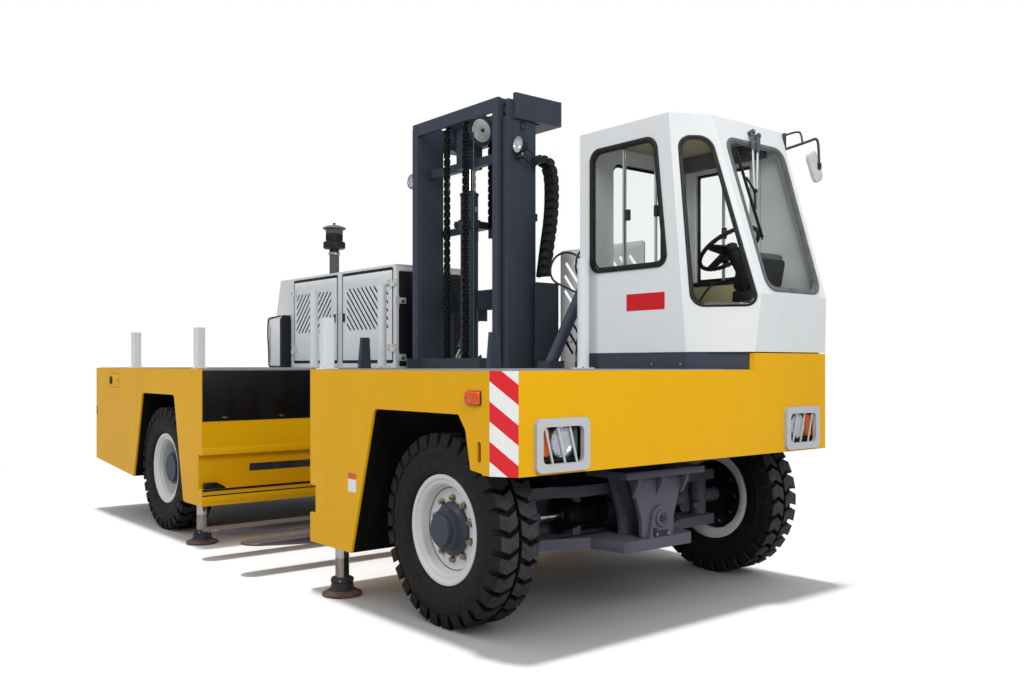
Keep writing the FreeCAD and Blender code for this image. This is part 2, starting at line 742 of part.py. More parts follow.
def steering_wheel(stand):
    """A tilted ring with one bar of spokes, on a column that ends on the dashboard's stand."""
    x, y, z, tilt = "front_end - 465", "far_side - 405", "cab_floor + 695", -35
    lean = (math.sin(math.radians(tilt)), math.cos(math.radians(tilt)))
    ring = doc.addObject("Part::Torus", "Ring")
    bind(ring, "Radius1", "wheel_ring")
    bind(ring, "Radius2", "14")
    place(ring, x, y, z, (0, 1, 0), tilt)
    column = rod("Z", (x, y), "30", ("0", "290"))
    drop = 253
    place(column, f"{x} - {drop * lean[0]}", y, f"{z} - {drop * lean[1]}", (0, 1, 0), tilt)
    bar = box(("-wheel_ring + 5", "wheel_ring - 5"), ("-16", "16"), ("-8", "8"))
    place(bar, f"{x} - (wheel_ring - 5) * {lean[1]}", f"{y} - 16", f"{z} + (wheel_ring - 5) * {lean[0]} - 8",
          (0, 1, 0), tilt)
    return part("steering_wheel", cut(fuse(ring, column, bar), stand))


driver_seat()
steering_wheel(console())

# ---------------------------------------------------------------- deck furniture


def post(x, y, height):
    """A round post with a square foot plate."""
    foot = box((f"{x} - 55", f"{x} + 55"), (f"{y} - 55", f"{y} + 55"), ("deck_top", "deck_top + 12"))
    return fuse(foot, rod("Z", (x, y), "post_radius", ("deck_top", f"deck_top + {height}")))


POSTS = [("rear_end + 1575", "215"), ("well_rear - 69.5", "330"), ("cab_rear + 105", "280")]
STAKES = ["rear_end + 970", "well_rear - 220.5", "well_front + 94.5"]
part("guard_posts", group(*[post(x, y, "post_height") for x, y in POSTS]))
part("load_stakes", group(*[post(x, "load_side + 68", "stake_height") for x in STAKES]))
WEDGE = [("65", "deck_top"), ("175", "deck_top"), ("160", "deck_top + 270"), ("90", "deck_top + 270")]
WELL_EDGES = (("well_rear - 45", "well_rear"), ("well_front", "well_front + 45"))
part("guide_wedges", group(*[prism("YZ", WEDGE, span) for span in WELL_EDGES]))


def headlamp_guards():
    """Framed guards on the bumper, each around a lamp recess."""
    frames = []
    for low in LAMPS:
        rings = []
        for inset, radius in ((0, 35), (42, 30)):
            near, far = f"{low} + {inset}", f"{low} + 360 - {inset}"
            foot, head = f"bumper_low + 12 + {inset}", f"bumper_low + 280 - {inset}"
            rings.append(prism("YZ", [(near, foot), (far, foot), (far, head), (near, head)],
                               ("front_end", "front_end + 25"), rounds=(0, 1, 2, 3), radius=radius))
        frames.append(cut(*rings))
    return part("headlamp_guards", group(*frames))


headlamp_guards()
MIRROR_AT = ("front_end - 135", "far_side + 130")
part("mirror", fuse(
    rod("Y", ("front_end - 340", "cab_roof - 76"), "14", ("far_side", "far_side + 144")),
    rod("X", ("far_side + 130", "cab_roof - 76"), "14", ("front_end - 340", "front_end - 121")),
    rod("Z", MIRROR_AT, "14", ("cab_roof - 363", "cab_roof - 62")),
    box(("front_end - 127", "front_end - 97"), ("far_side + 65", "far_side + 195"),
        ("cab_roof - 363", "cab_roof - 123")),
))

# ---------------------------------------------------------------- reach carriage

TILT_ANCHOR = ("900", "1840")
TILT_EYE = ("650", "1380")


def tilt_span(side, near, far):
    """A stretch across one tilt cylinder, measured from its own middle."""
    return mirrored(side, f"tilt_offset + {near}", f"tilt_offset + {far}")


def reach_carriage():
    """Frame that rolls along the well's rails and carries the mast's pivot and tilt cylinders."""
    pieces = []
    edge = "mast_half + 58"
    beams = {1: (f"mast_x + {edge}", "well_front - 23"), -1: ("well_rear + 23", f"mast_x - ({edge})")}
    runs = {1: ("well_front - 23", "well_front + rail_recess - 16"),
            -1: ("well_rear - rail_recess + 16", "well_rear + 23")}
    for side in (1, -1):
        cheek = prism("YZ", [
            ("560", "200"), ("frame_back", "200"), ("frame_back", "frame_top"),
            ("748", "frame_top"), ("748", "820"), ("560", "760"),
        ], mirrored(side, "mast_half + 33", "mast_half + 58"))
        beam = box(beams[side], ("560", "frame_back"), ("rail_mid - 95", "rail_mid + 95"))
        rollers = [rod("X", (y, "rail_mid"), "(rail_high - rail_low) / 2 - seat_gap", runs[side])
                   for y in ("695", "frame_back - 135")]
        pieces += [cheek, beam, *rollers]
    across = mirrored(1, "-mast_half - 33", "mast_half + 33")
    pieces.append(box(across, ("frame_back - 60", "frame_back"), ("frame_top - 175", "frame_top")))
    pieces.append(box(across, ("frame_back - 85", "frame_back"), ("200", "400")))
    for side in (1, -1):
        for near, far in (("-66", "-50"), ("50", "66")):
            pieces.append(box(tilt_span(side, near, far), ("860", "frame_back"), ("1800", "frame_top - 170")))
        pieces.append(rod("X", TILT_ANCHOR, "tilt_pin", tilt_span(side, "-66", "66")))
    body = fuse(*pieces)
    across = mirrored(1, "-mast_half - 80", "mast_half + 80")
    pin_hole = rod("X", ("pivot_y", "pivot_z"), "pivot_pin + bore_gap", across)
    return part("reach_carriage", cut(body, pin_hole))


reach_carriage()

# ---------------------------------------------------------------- mast


def upright(side):
    """One outer upright: an outward web with two flanges that face the middle."""
    rise = ("mast_foot", "mast_top")
    wide = mirrored(side, "mast_half - 72", "mast_half")
    web = box(mirrored(side, "mast_half - upright_wall", "mast_half"), ("mast_front", "mast_back"), rise)
    front = box(wide, ("mast_front", "mast_front + flange"), ("mast_foot", "mast_top - 130"))
    back = box(wide, ("mast_back - flange", "mast_back"), rise)
    pin = rod("X", ("pivot_y", "pivot_z"), "pivot_pin", mirrored(side, "mast_half - 5", "mast_half + 70"))
    return [web, front, back, pin]


def outer_mast():
    """Two uprights with a foot beam, back ties and the tie box at the top."""
    across = mirrored(1, "-mast_half", "mast_half")
    foot = box(across, ("inner_front + 85", "mast_back"), ("mast_foot", "mast_foot + 45"))
    low_tie = box(across, ("mast_back", "mast_back + 20"), ("mast_foot + 60", "mast_foot + 260"))
    mid_tie = box(across, ("mast_back", "mast_back + 20"), ("1330", "1450"))
    ears = []
    for side in (1, -1):
        for near, far in (("-44", "-24"), ("24", "44")):
            ears.append(box(tilt_span(side, near, far), ("625", "mast_back + 20"), ("1350", "1410")))
        ears.append(rod("X", TILT_EYE, "15", tilt_span(side, "-44", "44")))
    top_back = box(mirrored(1, "-mast_half - 33", "mast_half + 33"), ("mast_back + 60", "mast_back + 250"),
                   ("mast_top - 150", "mast_top + 50"))
    ends = [box(mirrored(s, "mast_half", "mast_half + 33"), ("mast_front + 50", "mast_back + 250"),
                ("mast_top - 150", "mast_top + 50")) for s in (1, -1)]
    return part("outer_mast", fuse(*upright(1), *upright(-1), foot, low_tie, mid_tie, *ears, top_back, *ends))


CLAMP_LOW = "lift_cylinder_top - 295"


def lift_cylinder():
    """Centre lift cylinder with the clamp that ties it to the mast."""
    line = ("mast_x", "lift_y")
    behind = ("mast_back", "mast_back + 20")
    clamp = (CLAMP_LOW, f"{CLAMP_LOW} + 60")
    barrel = cut(rod("Z", line, "lift_cylinder_radius", ("mast_foot + 45", "lift_cylinder_top")),
                 rod("Z", line, "rod_radius + seat_gap", ("mast_foot + 300", "lift_cylinder_top + 10")))
    collar = cut(rod("Z", line, "lift_cylinder_radius + 22", (f"{CLAMP_LOW} - 5", f"{CLAMP_LOW} + 65")),
                 rod("Z", line, "lift_cylinder_radius", (f"{CLAMP_LOW} - 15", f"{CLAMP_LOW} + 75")))
    bracket = box(("mast_x - 60", "mast_x + 60"),
                  ("lift_y + lift_cylinder_radius", "mast_back + 20"), clamp)
    bar = box(mirrored(1, "-mast_half", "mast_half"), behind, clamp)
    anchors = [box(mirrored(s, "chain_inner - 3", "chain_outer + 3"),
                   ("lift_y + sheave_radius - 20", "mast_back + 20"),
                   (f"{CLAMP_LOW} - 85", CLAMP_LOW)) for s in (1, -1)]
    return part("lift_cylinder", fuse(barrel, collar, bracket, bar, *anchors))


def inner_mast():
    """Inner uprights, nested in the outer ones, with a top and a bottom tie."""
    pieces = []
    top = "mast_top + 20"
    foot = "mast_foot + 60"
    back = "mast_back - flange - 6"
    for side in (1, -1):
        web = box(mirrored(side, "mast_half - 107", "mast_half - 87"), ("inner_front", back), (foot, top))
        front = box(mirrored(side, "mast_half - 144", "mast_half - 72"),
                    ("inner_front", "inner_front + flange"), (foot, top))
        guide = box(mirrored(side, "mast_half - 87", "mast_half - upright_wall - 7"),
                    (f"{back} - 35", back), (foot, "mast_top - 170"))
        pieces += [web, front, guide]
    across = mirrored(1, "-mast_half + 107", "mast_half - 107")
    pieces.append(box(across, ("inner_front", "inner_front + 30"), (f"{top} - 105", top)))
    pieces.append(box(across, ("inner_front + 62", "inner_front + 87"), (foot, f"{foot} + 90")))
    return part("inner_mast", fuse(*pieces))


CHAIN = ("chain_inner", "chain_outer")


def crosshead():
    """Rod end, block and the two chain sheaves that the rod lifts."""
    head = "sheave_z - 300"
    line = ("lift_y", "sheave_z")
    shaft = rod("Z", ("mast_x", "lift_y"), "rod_radius", ("mast_foot + 600", f"{head} + 20"))
    block = box(mirrored(1, "-75", "75"), ("lift_y - 80", "lift_y + 80"), (head, "sheave_z + 60"))
    yoke = box(mirrored(1, "-mast_half + 107", "mast_half - 107"), ("lift_y - 30", "lift_y + 30"),
               (head, f"{head} + 70"))
    axle = rod("X", line, "30", mirrored(1, "-chain_outer - 13", "chain_outer + 13"))
    sheaves = [rod("X", line, "sheave_radius - chain_thick - seat_gap", mirrored(s, *CHAIN)) for s in (1, -1)]
    return part("crosshead", fuse(shaft, block, yoke, axle, *sheaves))


CARRIAGE_TOP = "deck_top + 85"
outer_mast()
lift_cylinder()
inner_mast()
crosshead()
CHAIN_FRONT = ("lift_y - sheave_radius", "lift_y - sheave_radius + chain_thick")
CHAIN_BACK = ("lift_y + sheave_radius - chain_thick", "lift_y + sheave_radius")
part("chain_front_runs", group(*[
    box(mirrored(s, *CHAIN), CHAIN_FRONT, (CARRIAGE_TOP, "sheave_z")) for s in (1, -1)]))
part("chain_back_runs", group(*[
    box(mirrored(s, *CHAIN), CHAIN_BACK, (CLAMP_LOW, "sheave_z")) for s in (1, -1)]))


def fork_carriage():
    """Carriage between the inner uprights, with the two bars that the forks hang on."""
    pieces = []
    for side in (1, -1):
        plate = mirrored(side, "mast_half - 177", "mast_half - 152")
        pieces.append(box(plate, ("fork_heel + 10", "inner_front + 52"),
                          ("fork_bottom + 40", CARRIAGE_TOP)))
    across = mirrored(1, "-mast_half + 152", "mast_half - 152")
    pieces.append(box(across, ("inner_front + 10", "inner_front + 60"), (f"{CARRIAGE_TOP} - 90", CARRIAGE_TOP)))
    bar = mirrored(1, "-mast_half + 20", "mast_half - 20")
    for low, high in (("fork_bottom + 100", "fork_bottom + 270"), ("fork_bottom + 840", "fork_bottom + 990")):
        pieces.append(box(bar, ("fork_heel", "fork_heel + 70"), (low, high)))
    for side in (1, -1):
        anchor = mirrored(side, "chain_inner - 8", "chain_outer + 8")
        pieces.append(box(anchor, ("inner_front + 10", "lift_y - sheave_radius + 18"),
                          (f"{CARRIAGE_TOP} - 60", CARRIAGE_TOP)))
    return part("fork_carriage", fuse(*pieces))


def fork(side):
    """One fork: shank, heel and a blade that tapers to its tip."""
    middle = f"mast_x + {side} * fork_spacing / 2"
    width = (f"{middle} - fork_width / 2", f"{middle} + fork_width / 2")
    return prism("YZ", [
        ("fork_heel", "fork_bottom"), ("fork_heel", "fork_bottom + 1030"),
        ("fork_heel - fork_thick + 10", "fork_bottom + 1030"),
        ("fork_heel - fork_thick", "fork_top"), ("fork_tip", "fork_top"), ("fork_tip", "fork_top - 16"),
        ("fork_tip + 600", "fork_bottom"),
    ], width)


fork_carriage()
part("forks", group(fork(1), fork(-1)))

# ---------------------------------------------------------------- tilt cylinders

def slanted(side, radius, start, end):
    """A bar on a tilt cylinder's axis, between two distances from the frame's pin."""
    bar = doc.addObject("Part::Cylinder", "Slanted")
    bind(bar, "Radius", radius)
    bind(bar, "Height", f"{end} - {start}")
    lean = (number(TILT_EYE[0]) - number(TILT_ANCHOR[0]), number(TILT_EYE[1]) - number(TILT_ANCHOR[1]))
    length = (lean[0] ** 2 + lean[1] ** 2) ** 0.5
    unit = (lean[0] / length, lean[1] / length)
    bar.Placement = FreeCAD.Placement(
        FreeCAD.Vector(0, 0, 0), FreeCAD.Rotation(FreeCAD.Vector(0, 0, 1), FreeCAD.Vector(0, *unit)))
    bind(bar, ".Placement.Base.x", f"mast_x + {side} * tilt_offset")
    bind(bar, ".Placement.Base.y", f"{TILT_ANCHOR[0]} + {unit[0] * float(start)}")
    bind(bar, ".Placement.Base.z", f"{TILT_ANCHOR[1]} + {unit[1] * float(start)}")
    return bar


def tilt_barrel(side):
    eye = rod("X", TILT_ANCHOR, "40", tilt_span(side, "-49.5", "49.5"))
    hole = rod("X", TILT_ANCHOR, "tilt_pin + bore_gap", tilt_span(side, "-50", "50"))
    return cut(fuse(eye, slanted(side, "45", 35, 330)), hole, slanted(side, "22.3", 150, 340))


def tilt_rod(side):
    eye = rod("X", TILT_EYE, "38", tilt_span(side, "-18", "18"))
    hole = rod("X", TILT_EYE, "24", tilt_span(side, "-20", "20"))
    return cut(fuse(eye, slanted(side, "22", 190, 500)), hole)


part("tilt_barrels", group(tilt_barrel(1), tilt_barrel(-1)))
part("tilt_rods", group(tilt_rod(1), tilt_rod(-1)))

# ---------------------------------------------------------------- fittings


def chain_bow():
    """The energy chain's outer shape, bowed out behind the near upright."""
    middle = [(770, 3040), (835, 3035), (880, 2950), (895, 2820), (880, 2600), (840, 2350), (800, 2088)]
    outer = [(y + 28, z + (28 if z > 3000 else 6)) for y, z in middle]
    inner = [(y - 28, z - (28 if z > 3000 else 0)) for y, z in middle]
    points = [(str(y), str(z)) for y, z in inner + outer[::-1]]
    bow = prism("YZ", points, mirrored(1, "mast_half + 12", "mast_half + 132"))
    lug = box(mirrored(1, "mast_half", "mast_half + 30"), ("745", "785"), ("2990", "3060"))
    return part("cable_chain", fuse(bow, lug))


def work_lights():
    """Round lamps on brackets at the outside of both uprights."""
    lamps = []
    for side, z in ((1, "3130"), (-1, "3060")):
        x = f"mast_x + {side} * (mast_half + 72)"
        head = rod("Y", (x, z), "66", ("540", "630"))
        arm = box(mirrored(side, "mast_half", "mast_half + 90"), ("570", "610"), (f"{z} - 90", f"{z} - 60"))
        lamps.append(fuse(head, arm))
    return part("work_lights", group(*lamps))


BRACE_X = "well_front + 148.5"


def brace_tube():
    """Slanting tube from the deck up to the guard sheet."""
    bar = doc.addObject("Part::Cylinder", "Brace")
    bind(bar, "Radius", "45")
    bind(bar, "Height", "830")
    bar.Placement = FreeCAD.Placement(FreeCAD.Vector(), FreeCAD.Rotation(FreeCAD.Vector(1, 0, 0), -30))
    for letter, text in zip("xyz", (BRACE_X, "560", "deck_top + 25")):
        bind(bar, f".Placement.Base.{letter}", text)
    foot = box((f"{BRACE_X} - 70", f"{BRACE_X} + 70"), ("500", "640"), ("deck_top", "deck_top + 60"))
    return part("brace_tube", fuse(bar, foot))


chain_bow()
work_lights()
brace_tube()
part("guard_sheet", box(("well_front - 241.5", "cab_rear - 20"), ("beam_near + 5", "beam_near + 25"),
                        ("deck_top", "hood_top + 5")))
part("valve_block", box(("well_front - 266.5", "well_front - 11.5"), ("beam_near + 50", "far_side - 50"),
                        ("deck_top", "deck_top + 515")))


def write_parts():
    """Check every object and sub-part, then write one file for each sub-part."""
    doc.recompute()
    for thing in doc.Objects:
        if {"Invalid", "Error"} & set(thing.State):
            raise RuntimeError(f"{thing.Name} ({thing.Label}) failed")
    os.makedirs("parts", exist_ok=True)
    for name, thing in PARTS.items():
        shape = thing.Shape
        if shape.isNull() or not shape.isValid() or not shape.Solids:
            raise RuntimeError(f"{name} has no valid solid")
        shape.exportStep(f"parts/{name}.step")
        size = shape.BoundBox
        spans = [f"{low:.0f}..{high:.0f}" for low, high in (
            (size.XMin, size.XMax), (size.YMin, size.YMax), (size.ZMin, size.ZMax))]
        print(f"{name:20s} solids {len(shape.Solids)} volume {shape.Volume / 1e9:.4f} m3 box {spans}")


write_parts()
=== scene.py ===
# %% [markdown]
# # A side loader, piece by piece
# A side loader is a forklift whose mast stands in a well between two long decks and
# slides out sideways to pick up pipes and timber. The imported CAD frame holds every
# working part at its true size. This lesson gives it its looks: enamelled steel,
# rubber, chrome, glass and the small fittings that tell the eye how big it is.

# %% The frame
import math

import bmesh
import bpy
from mathutils import Matrix, Vector


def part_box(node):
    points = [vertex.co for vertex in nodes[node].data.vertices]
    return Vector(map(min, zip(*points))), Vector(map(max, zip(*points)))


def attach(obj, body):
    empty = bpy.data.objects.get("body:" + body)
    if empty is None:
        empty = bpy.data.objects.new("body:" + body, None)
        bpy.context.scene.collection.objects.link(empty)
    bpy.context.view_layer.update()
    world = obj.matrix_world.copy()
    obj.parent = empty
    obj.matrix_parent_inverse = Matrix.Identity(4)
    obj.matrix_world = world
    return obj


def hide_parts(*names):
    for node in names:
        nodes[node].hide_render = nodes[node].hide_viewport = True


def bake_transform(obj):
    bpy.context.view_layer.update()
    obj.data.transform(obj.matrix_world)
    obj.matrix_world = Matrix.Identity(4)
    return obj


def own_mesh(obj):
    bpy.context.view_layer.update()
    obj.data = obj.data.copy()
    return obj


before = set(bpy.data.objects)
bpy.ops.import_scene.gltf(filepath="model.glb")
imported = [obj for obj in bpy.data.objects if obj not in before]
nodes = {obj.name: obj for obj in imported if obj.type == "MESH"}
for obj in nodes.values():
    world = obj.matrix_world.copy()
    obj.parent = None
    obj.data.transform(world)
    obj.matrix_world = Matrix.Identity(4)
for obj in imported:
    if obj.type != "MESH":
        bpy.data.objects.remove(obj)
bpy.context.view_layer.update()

# %% [markdown]
# ## Camera
# The machine is over six metres long and is looked at from about five metres off its
# front corner, at the load side and level with the deck. So near a camera makes strong
# perspective: the front wheel looks larger than the rear one. A level camera keeps
# upright posts parallel, and a small lens shift moves the picture instead.

# %% Place the camera
camera_data = bpy.data.cameras.new("camera")
camera = bpy.data.objects.new("camera", camera_data)
bpy.context.scene.collection.objects.link(camera)
bpy.context.scene.camera = camera
camera_heading = math.radians(39.58)
camera.location = (6.772, -4.25, 1.414)
toward = Vector((-math.cos(camera_heading), math.sin(camera_heading), 0))
camera.rotation_euler = toward.to_track_quat("-Z", "Y").to_euler()
camera_data.sensor_width = 36
camera_data.lens = 33.75
camera_data.shift_y = 0.023
camera_data.clip_end = 200
camera_data.dof.use_dof = False
print("camera", [round(value, 3) for value in camera.location], "lens", camera_data.lens)

# %% [markdown]
# ## One function for nodes
# A material is a small graph. Adding a node always means the same three things: make
# it, set its options, and give each input a value or a link. One function does that
# for every kind of node, so each material below reads like a list of its layers.

# %% Node helper and colours
def add(tree, kind, inputs=None, **settings):
    """Adds a node, sets its options, then sets its inputs or links them to a node or socket."""
    made = tree.nodes.new("ShaderNode" + kind)
    for key, value in settings.items():
        setattr(made, key, value)
    for key, value in (inputs or {}).items():
        if isinstance(value, bpy.types.Node):
            value = next(socket for socket in value.outputs if socket.enabled)
        if isinstance(value, bpy.types.NodeSocket):
            tree.links.new(value, made.inputs[key])
        else:
            made.inputs[key].default_value = value
    return made


def hex_colour(text):
    """An sRGB colour such as 3F4550 as the linear values that shaders use."""
    parts = [int(text[i:i + 2], 16) / 255 for i in (0, 2, 4)]
    return [c / 12.92 if c <= 0.04045 else ((c + 0.055) / 1.055) ** 2.4 for c in parts] + [1]


print("white is", hex_colour("FFFFFF"))

# %% [markdown]
# ## Floor, backdrop and light
# A studio floor should show nothing but the shadow. This one is matte, white to the
# camera and greyer to the light that bounces back up, so that it stays dark under the
# machine. Far out it turns into plain white, which hides the horizon. The sky is white
# for the camera only; for the paint it is dim near the horizon and brighter overhead,
# so colours come out about as written. A small high sun draws the shadow's edge. Two
# softboxes lift the front and the load side. In a studio, black flags would keep their
# light off the floor; here the floor is unlinked from them.

# %% Floor and sky
scene = bpy.context.scene
scene.view_settings.view_transform = "Standard"


def seen_directly(tree):
    """1 where the camera sees a surface straight or through glass, 0 where it lights the object."""
    path = add(tree, "LightPath")
    return add(tree, "Math", {0: path.outputs["Is Camera Ray"], 1: path.outputs["Is Transmission Ray"]},
        operation="MAXIMUM")


world = bpy.data.worlds.new("studio")
scene.world = world
world.use_nodes = True
sky = world.node_tree
sky.nodes.clear()
SKY_LOW, SKY_HIGH = 0.3, 0.74
aim = add(sky, "TexCoord").outputs["Generated"]
rise = add(sky, "SeparateXYZ", {0: aim}).outputs["Z"]
overhead = add(sky, "MapRange", {"Value": rise, "To Min": SKY_LOW, "To Max": SKY_HIGH})
strength = add(sky, "MapRange", {"Value": seen_directly(sky), "To Min": overhead, "To Max": 1})
ground = add(sky, "Background", {"Color": (1, 1, 1, 1), "Strength": strength})
add(sky, "OutputWorld", {"Surface": ground})

floor_paint = bpy.data.materials.new("matte_floor")
floor_paint.use_nodes = True
tree = floor_paint.node_tree
tree.nodes.clear()
shown = seen_directly(tree)
tone = add(tree, "Mix", {0: shown, 6: hex_colour("B9B9B9"), 7: hex_colour("F4F4F4")}, data_type="RGBA")
matte = add(tree, "BsdfDiffuse", {"Color": tone})
place = add(tree, "TexCoord").outputs["Object"]
away = add(tree, "VectorMath", {0: place}, operation="LENGTH")
fade = add(tree, "MapRange", {"Value": away, "From Min": 4.2, "From Max": 7.5, "To Min": 0, "To Max": 1},
    interpolation_type="SMOOTHSTEP")
plain = add(tree, "Math", {0: fade, 1: shown}, operation="MULTIPLY")
glow = add(tree, "Emission", {"Color": (1, 1, 1, 1), "Strength": 1})
both = add(tree, "MixShader", {"Fac": plain, 1: matte, 2: glow})
add(tree, "OutputMaterial", {"Surface": both})

shape = bmesh.new()
bmesh.ops.create_grid(shape, x_segments=1, y_segments=1, size=60)
floor_mesh = bpy.data.meshes.new("floor")
shape.to_mesh(floor_mesh)
shape.free()
floor = bpy.data.objects.new("floor", floor_mesh)
floor.data.materials.append(floor_paint)
scene.collection.objects.link(floor)
print("floor at z = 0,", 2 * 60, "m wide")

# %% Lamps
def lamp(name, kind, place, target, watts, **shape):
    """A light of one kind that faces a target."""
    data = bpy.data.lights.new(name, kind)
    data.energy = watts
    for key, value in shape.items():
        setattr(data, key, value)
    made = bpy.data.objects.new(name, data)
    made.location = place
    made.rotation_euler = (Vector(target) - Vector(place)).to_track_quat("-Z", "Y").to_euler()
    scene.collection.objects.link(made)
    return made


lamp("high_sun", "SUN", (-0.9, 0.3, 9), (0, 0, 0), 2.3, angle=math.radians(4))
softboxes = [lamp("front_softbox", "AREA", (9.5, -2.5, 5.5), (1.5, 0, 1.2), 370, shape="SQUARE", size=4),
    lamp("side_softbox", "AREA", (-1, -9.5, 8), (0, 0, 1.2), 360, shape="SQUARE", size=4)]
flagged = bpy.data.collections.new("flagged_from_softboxes")
flagged.objects.link(floor)
flagged.collection_objects[0].light_linking.link_state = "EXCLUDE"
for softbox in softboxes:
    softbox.light_linking.receiver_collection = flagged

# %% [markdown]
# ## Tools for making a piece
# Every fitting here is cut, turned or bent from a few kinds of stock, so there is one
# tool for each: a block, a round bar, a lathe profile, a plate with holes, a frame and
# a bent tube. A drawing is flat, and a matrix lays it on a face of the machine. Each
# tool makes a small draft, whose doubles are merged and whose faces are turned outwards
# before it joins the piece. The piece's object stays at the origin, with its place in
# its mesh. First come the matrices and the steps that the tools share.

# %% Matrices that lay a drawing on a face
UP = (0, 0, 1)


def lay(origin, right, up):
    """Puts a drawing's X along right and its Y along up, from origin."""
    right, up = Vector(right).normalized(), Vector(up).normalized()
    out = right.cross(up).normalized()
    turn = Matrix((right, out.cross(right), out)).transposed().to_4x4()
    turn.translation = Vector(origin)
    return turn


def stood(origin, along):
    """Stands a drawing's Z along a direction, from origin."""
    turn = Vector(along).to_track_quat("Z", "Y").to_matrix().to_4x4()
    turn.translation = Vector(origin)
    return turn


RIGHTS = {"near": (1, 0, 0), "far": (-1, 0, 0), "front": (0, 1, 0), "rear": (0, -1, 0)}


def face_of(side, x, y, z):
    """The drawing plane of a face that looks to the load side, far side, front, rear or up."""
    if side == "top":
        return lay((x, y, z), (1, 0, 0), (0, 1, 0))
    return lay((x, y, z), RIGHTS[side], UP)


print("laid on a near wall, up is", list(face_of("near", 0, 0, 0).col[1].to_3d()))

# %% Steps that several tools share
def drawn(points, z=0):
    """A new draft that holds one flat face."""
    draft = bmesh.new()
    draft.faces.new([draft.verts.new((u, v, z)) for u, v in points])
    return draft


def all_of(draft):
    """Everything in a draft, as an operator wants it."""
    return draft.verts[:] + draft.edges[:] + draft.faces[:]


def bevel(draft, what, size, steps=2, affect="EDGES"):
    """Bevels edges, or corners, which go no further than where they meet."""
    bmesh.ops.bevel(draft, geom=what, offset=size, segments=steps, profile=0.5, affect=affect, material=-1,
        clamp_overlap=affect == "VERTICES")


def thicken(draft, thick, edge=0):
    """Gives flat faces a thickness upwards, then a bevel to the upper rim."""
    made = bmesh.ops.extrude_face_region(draft, geom=draft.faces[:])["geom"]
    top = [v for v in made if isinstance(v, bmesh.types.BMVert)]
    bmesh.ops.translate(draft, verts=top, vec=(0, 0, thick))
    bmesh.ops.recalc_face_normals(draft, faces=draft.faces)
    if edge:
        upper = [e for e in draft.edges if all(v.co.z > thick / 2 for v in e.verts)]
        bevel(draft, [e for e in upper if e.calc_face_angle(0) > 1], edge)


print("a drawn triangle has", len(all_of(drawn([(0, 0), (1, 0), (0, 1)]))), "parts")

# %% Curves as drafts
def curve_along(points, name="line", radius=0, smooth=True, closed=False, detail=6, sides=3):
    """A curve through or near points; a radius makes it a round tube."""
    line = bpy.data.curves.new(name, "CURVE")
    line.dimensions, line.use_fill_caps = "3D", True
    line.resolution_u, line.bevel_depth, line.bevel_resolution = detail, radius, sides
    spline = line.splines.new("NURBS" if smooth else "POLY")
    spline.points.add(len(points) - 1)
    for spot, point in zip(spline.points, points):
        spot.co = (*point, 1)
    spline.order_u = min(3, len(points))
    spline.use_endpoint_u, spline.use_cyclic_u = not closed, closed
    return line


def draft_of(line):
    """A curve turned into a draft, and the curve thrown away."""
    holder = bpy.data.objects.new("line", line)
    mesh = bpy.data.meshes.new_from_object(holder)
    draft = bmesh.new()
    draft.from_mesh(mesh)
    bpy.data.objects.remove(holder)
    bpy.data.curves.remove(line)
    bpy.data.meshes.remove(mesh)
    return draft


print("curves ready")

# %% Outlines
def rounded(points, radius, steps=5):
    """An outline with rounded corners, got by bevelling the corners of one face."""
    draft = drawn(points)
    bevel(draft, draft.verts[:], radius, steps, "VERTICES")
    made = [(v.co.x, v.co.y) for v in draft.faces[:][0].verts]
    draft.free()
    return made


def arc(radius, degrees, u=0, v=0):
    """Points on a circle about (u, v), at these angles."""
    return [(u + radius * math.cos(math.radians(a)), v + radius * math.sin(math.radians(a)))
        for a in degrees]


def oblong(u, v, width, height, radius=0, steps=5):
    """A rectangle about (u, v), its corners rounded if a radius is given."""
    half, tall = width / 2, height / 2
    corners = [(u - half, v - tall), (u + half, v - tall), (u + half, v + tall), (u - half, v + tall)]
    return rounded(corners, radius, steps) if radius else corners


print("a rounded square has", len(oblong(0, 0, 1, 1, 0.2)), "points")

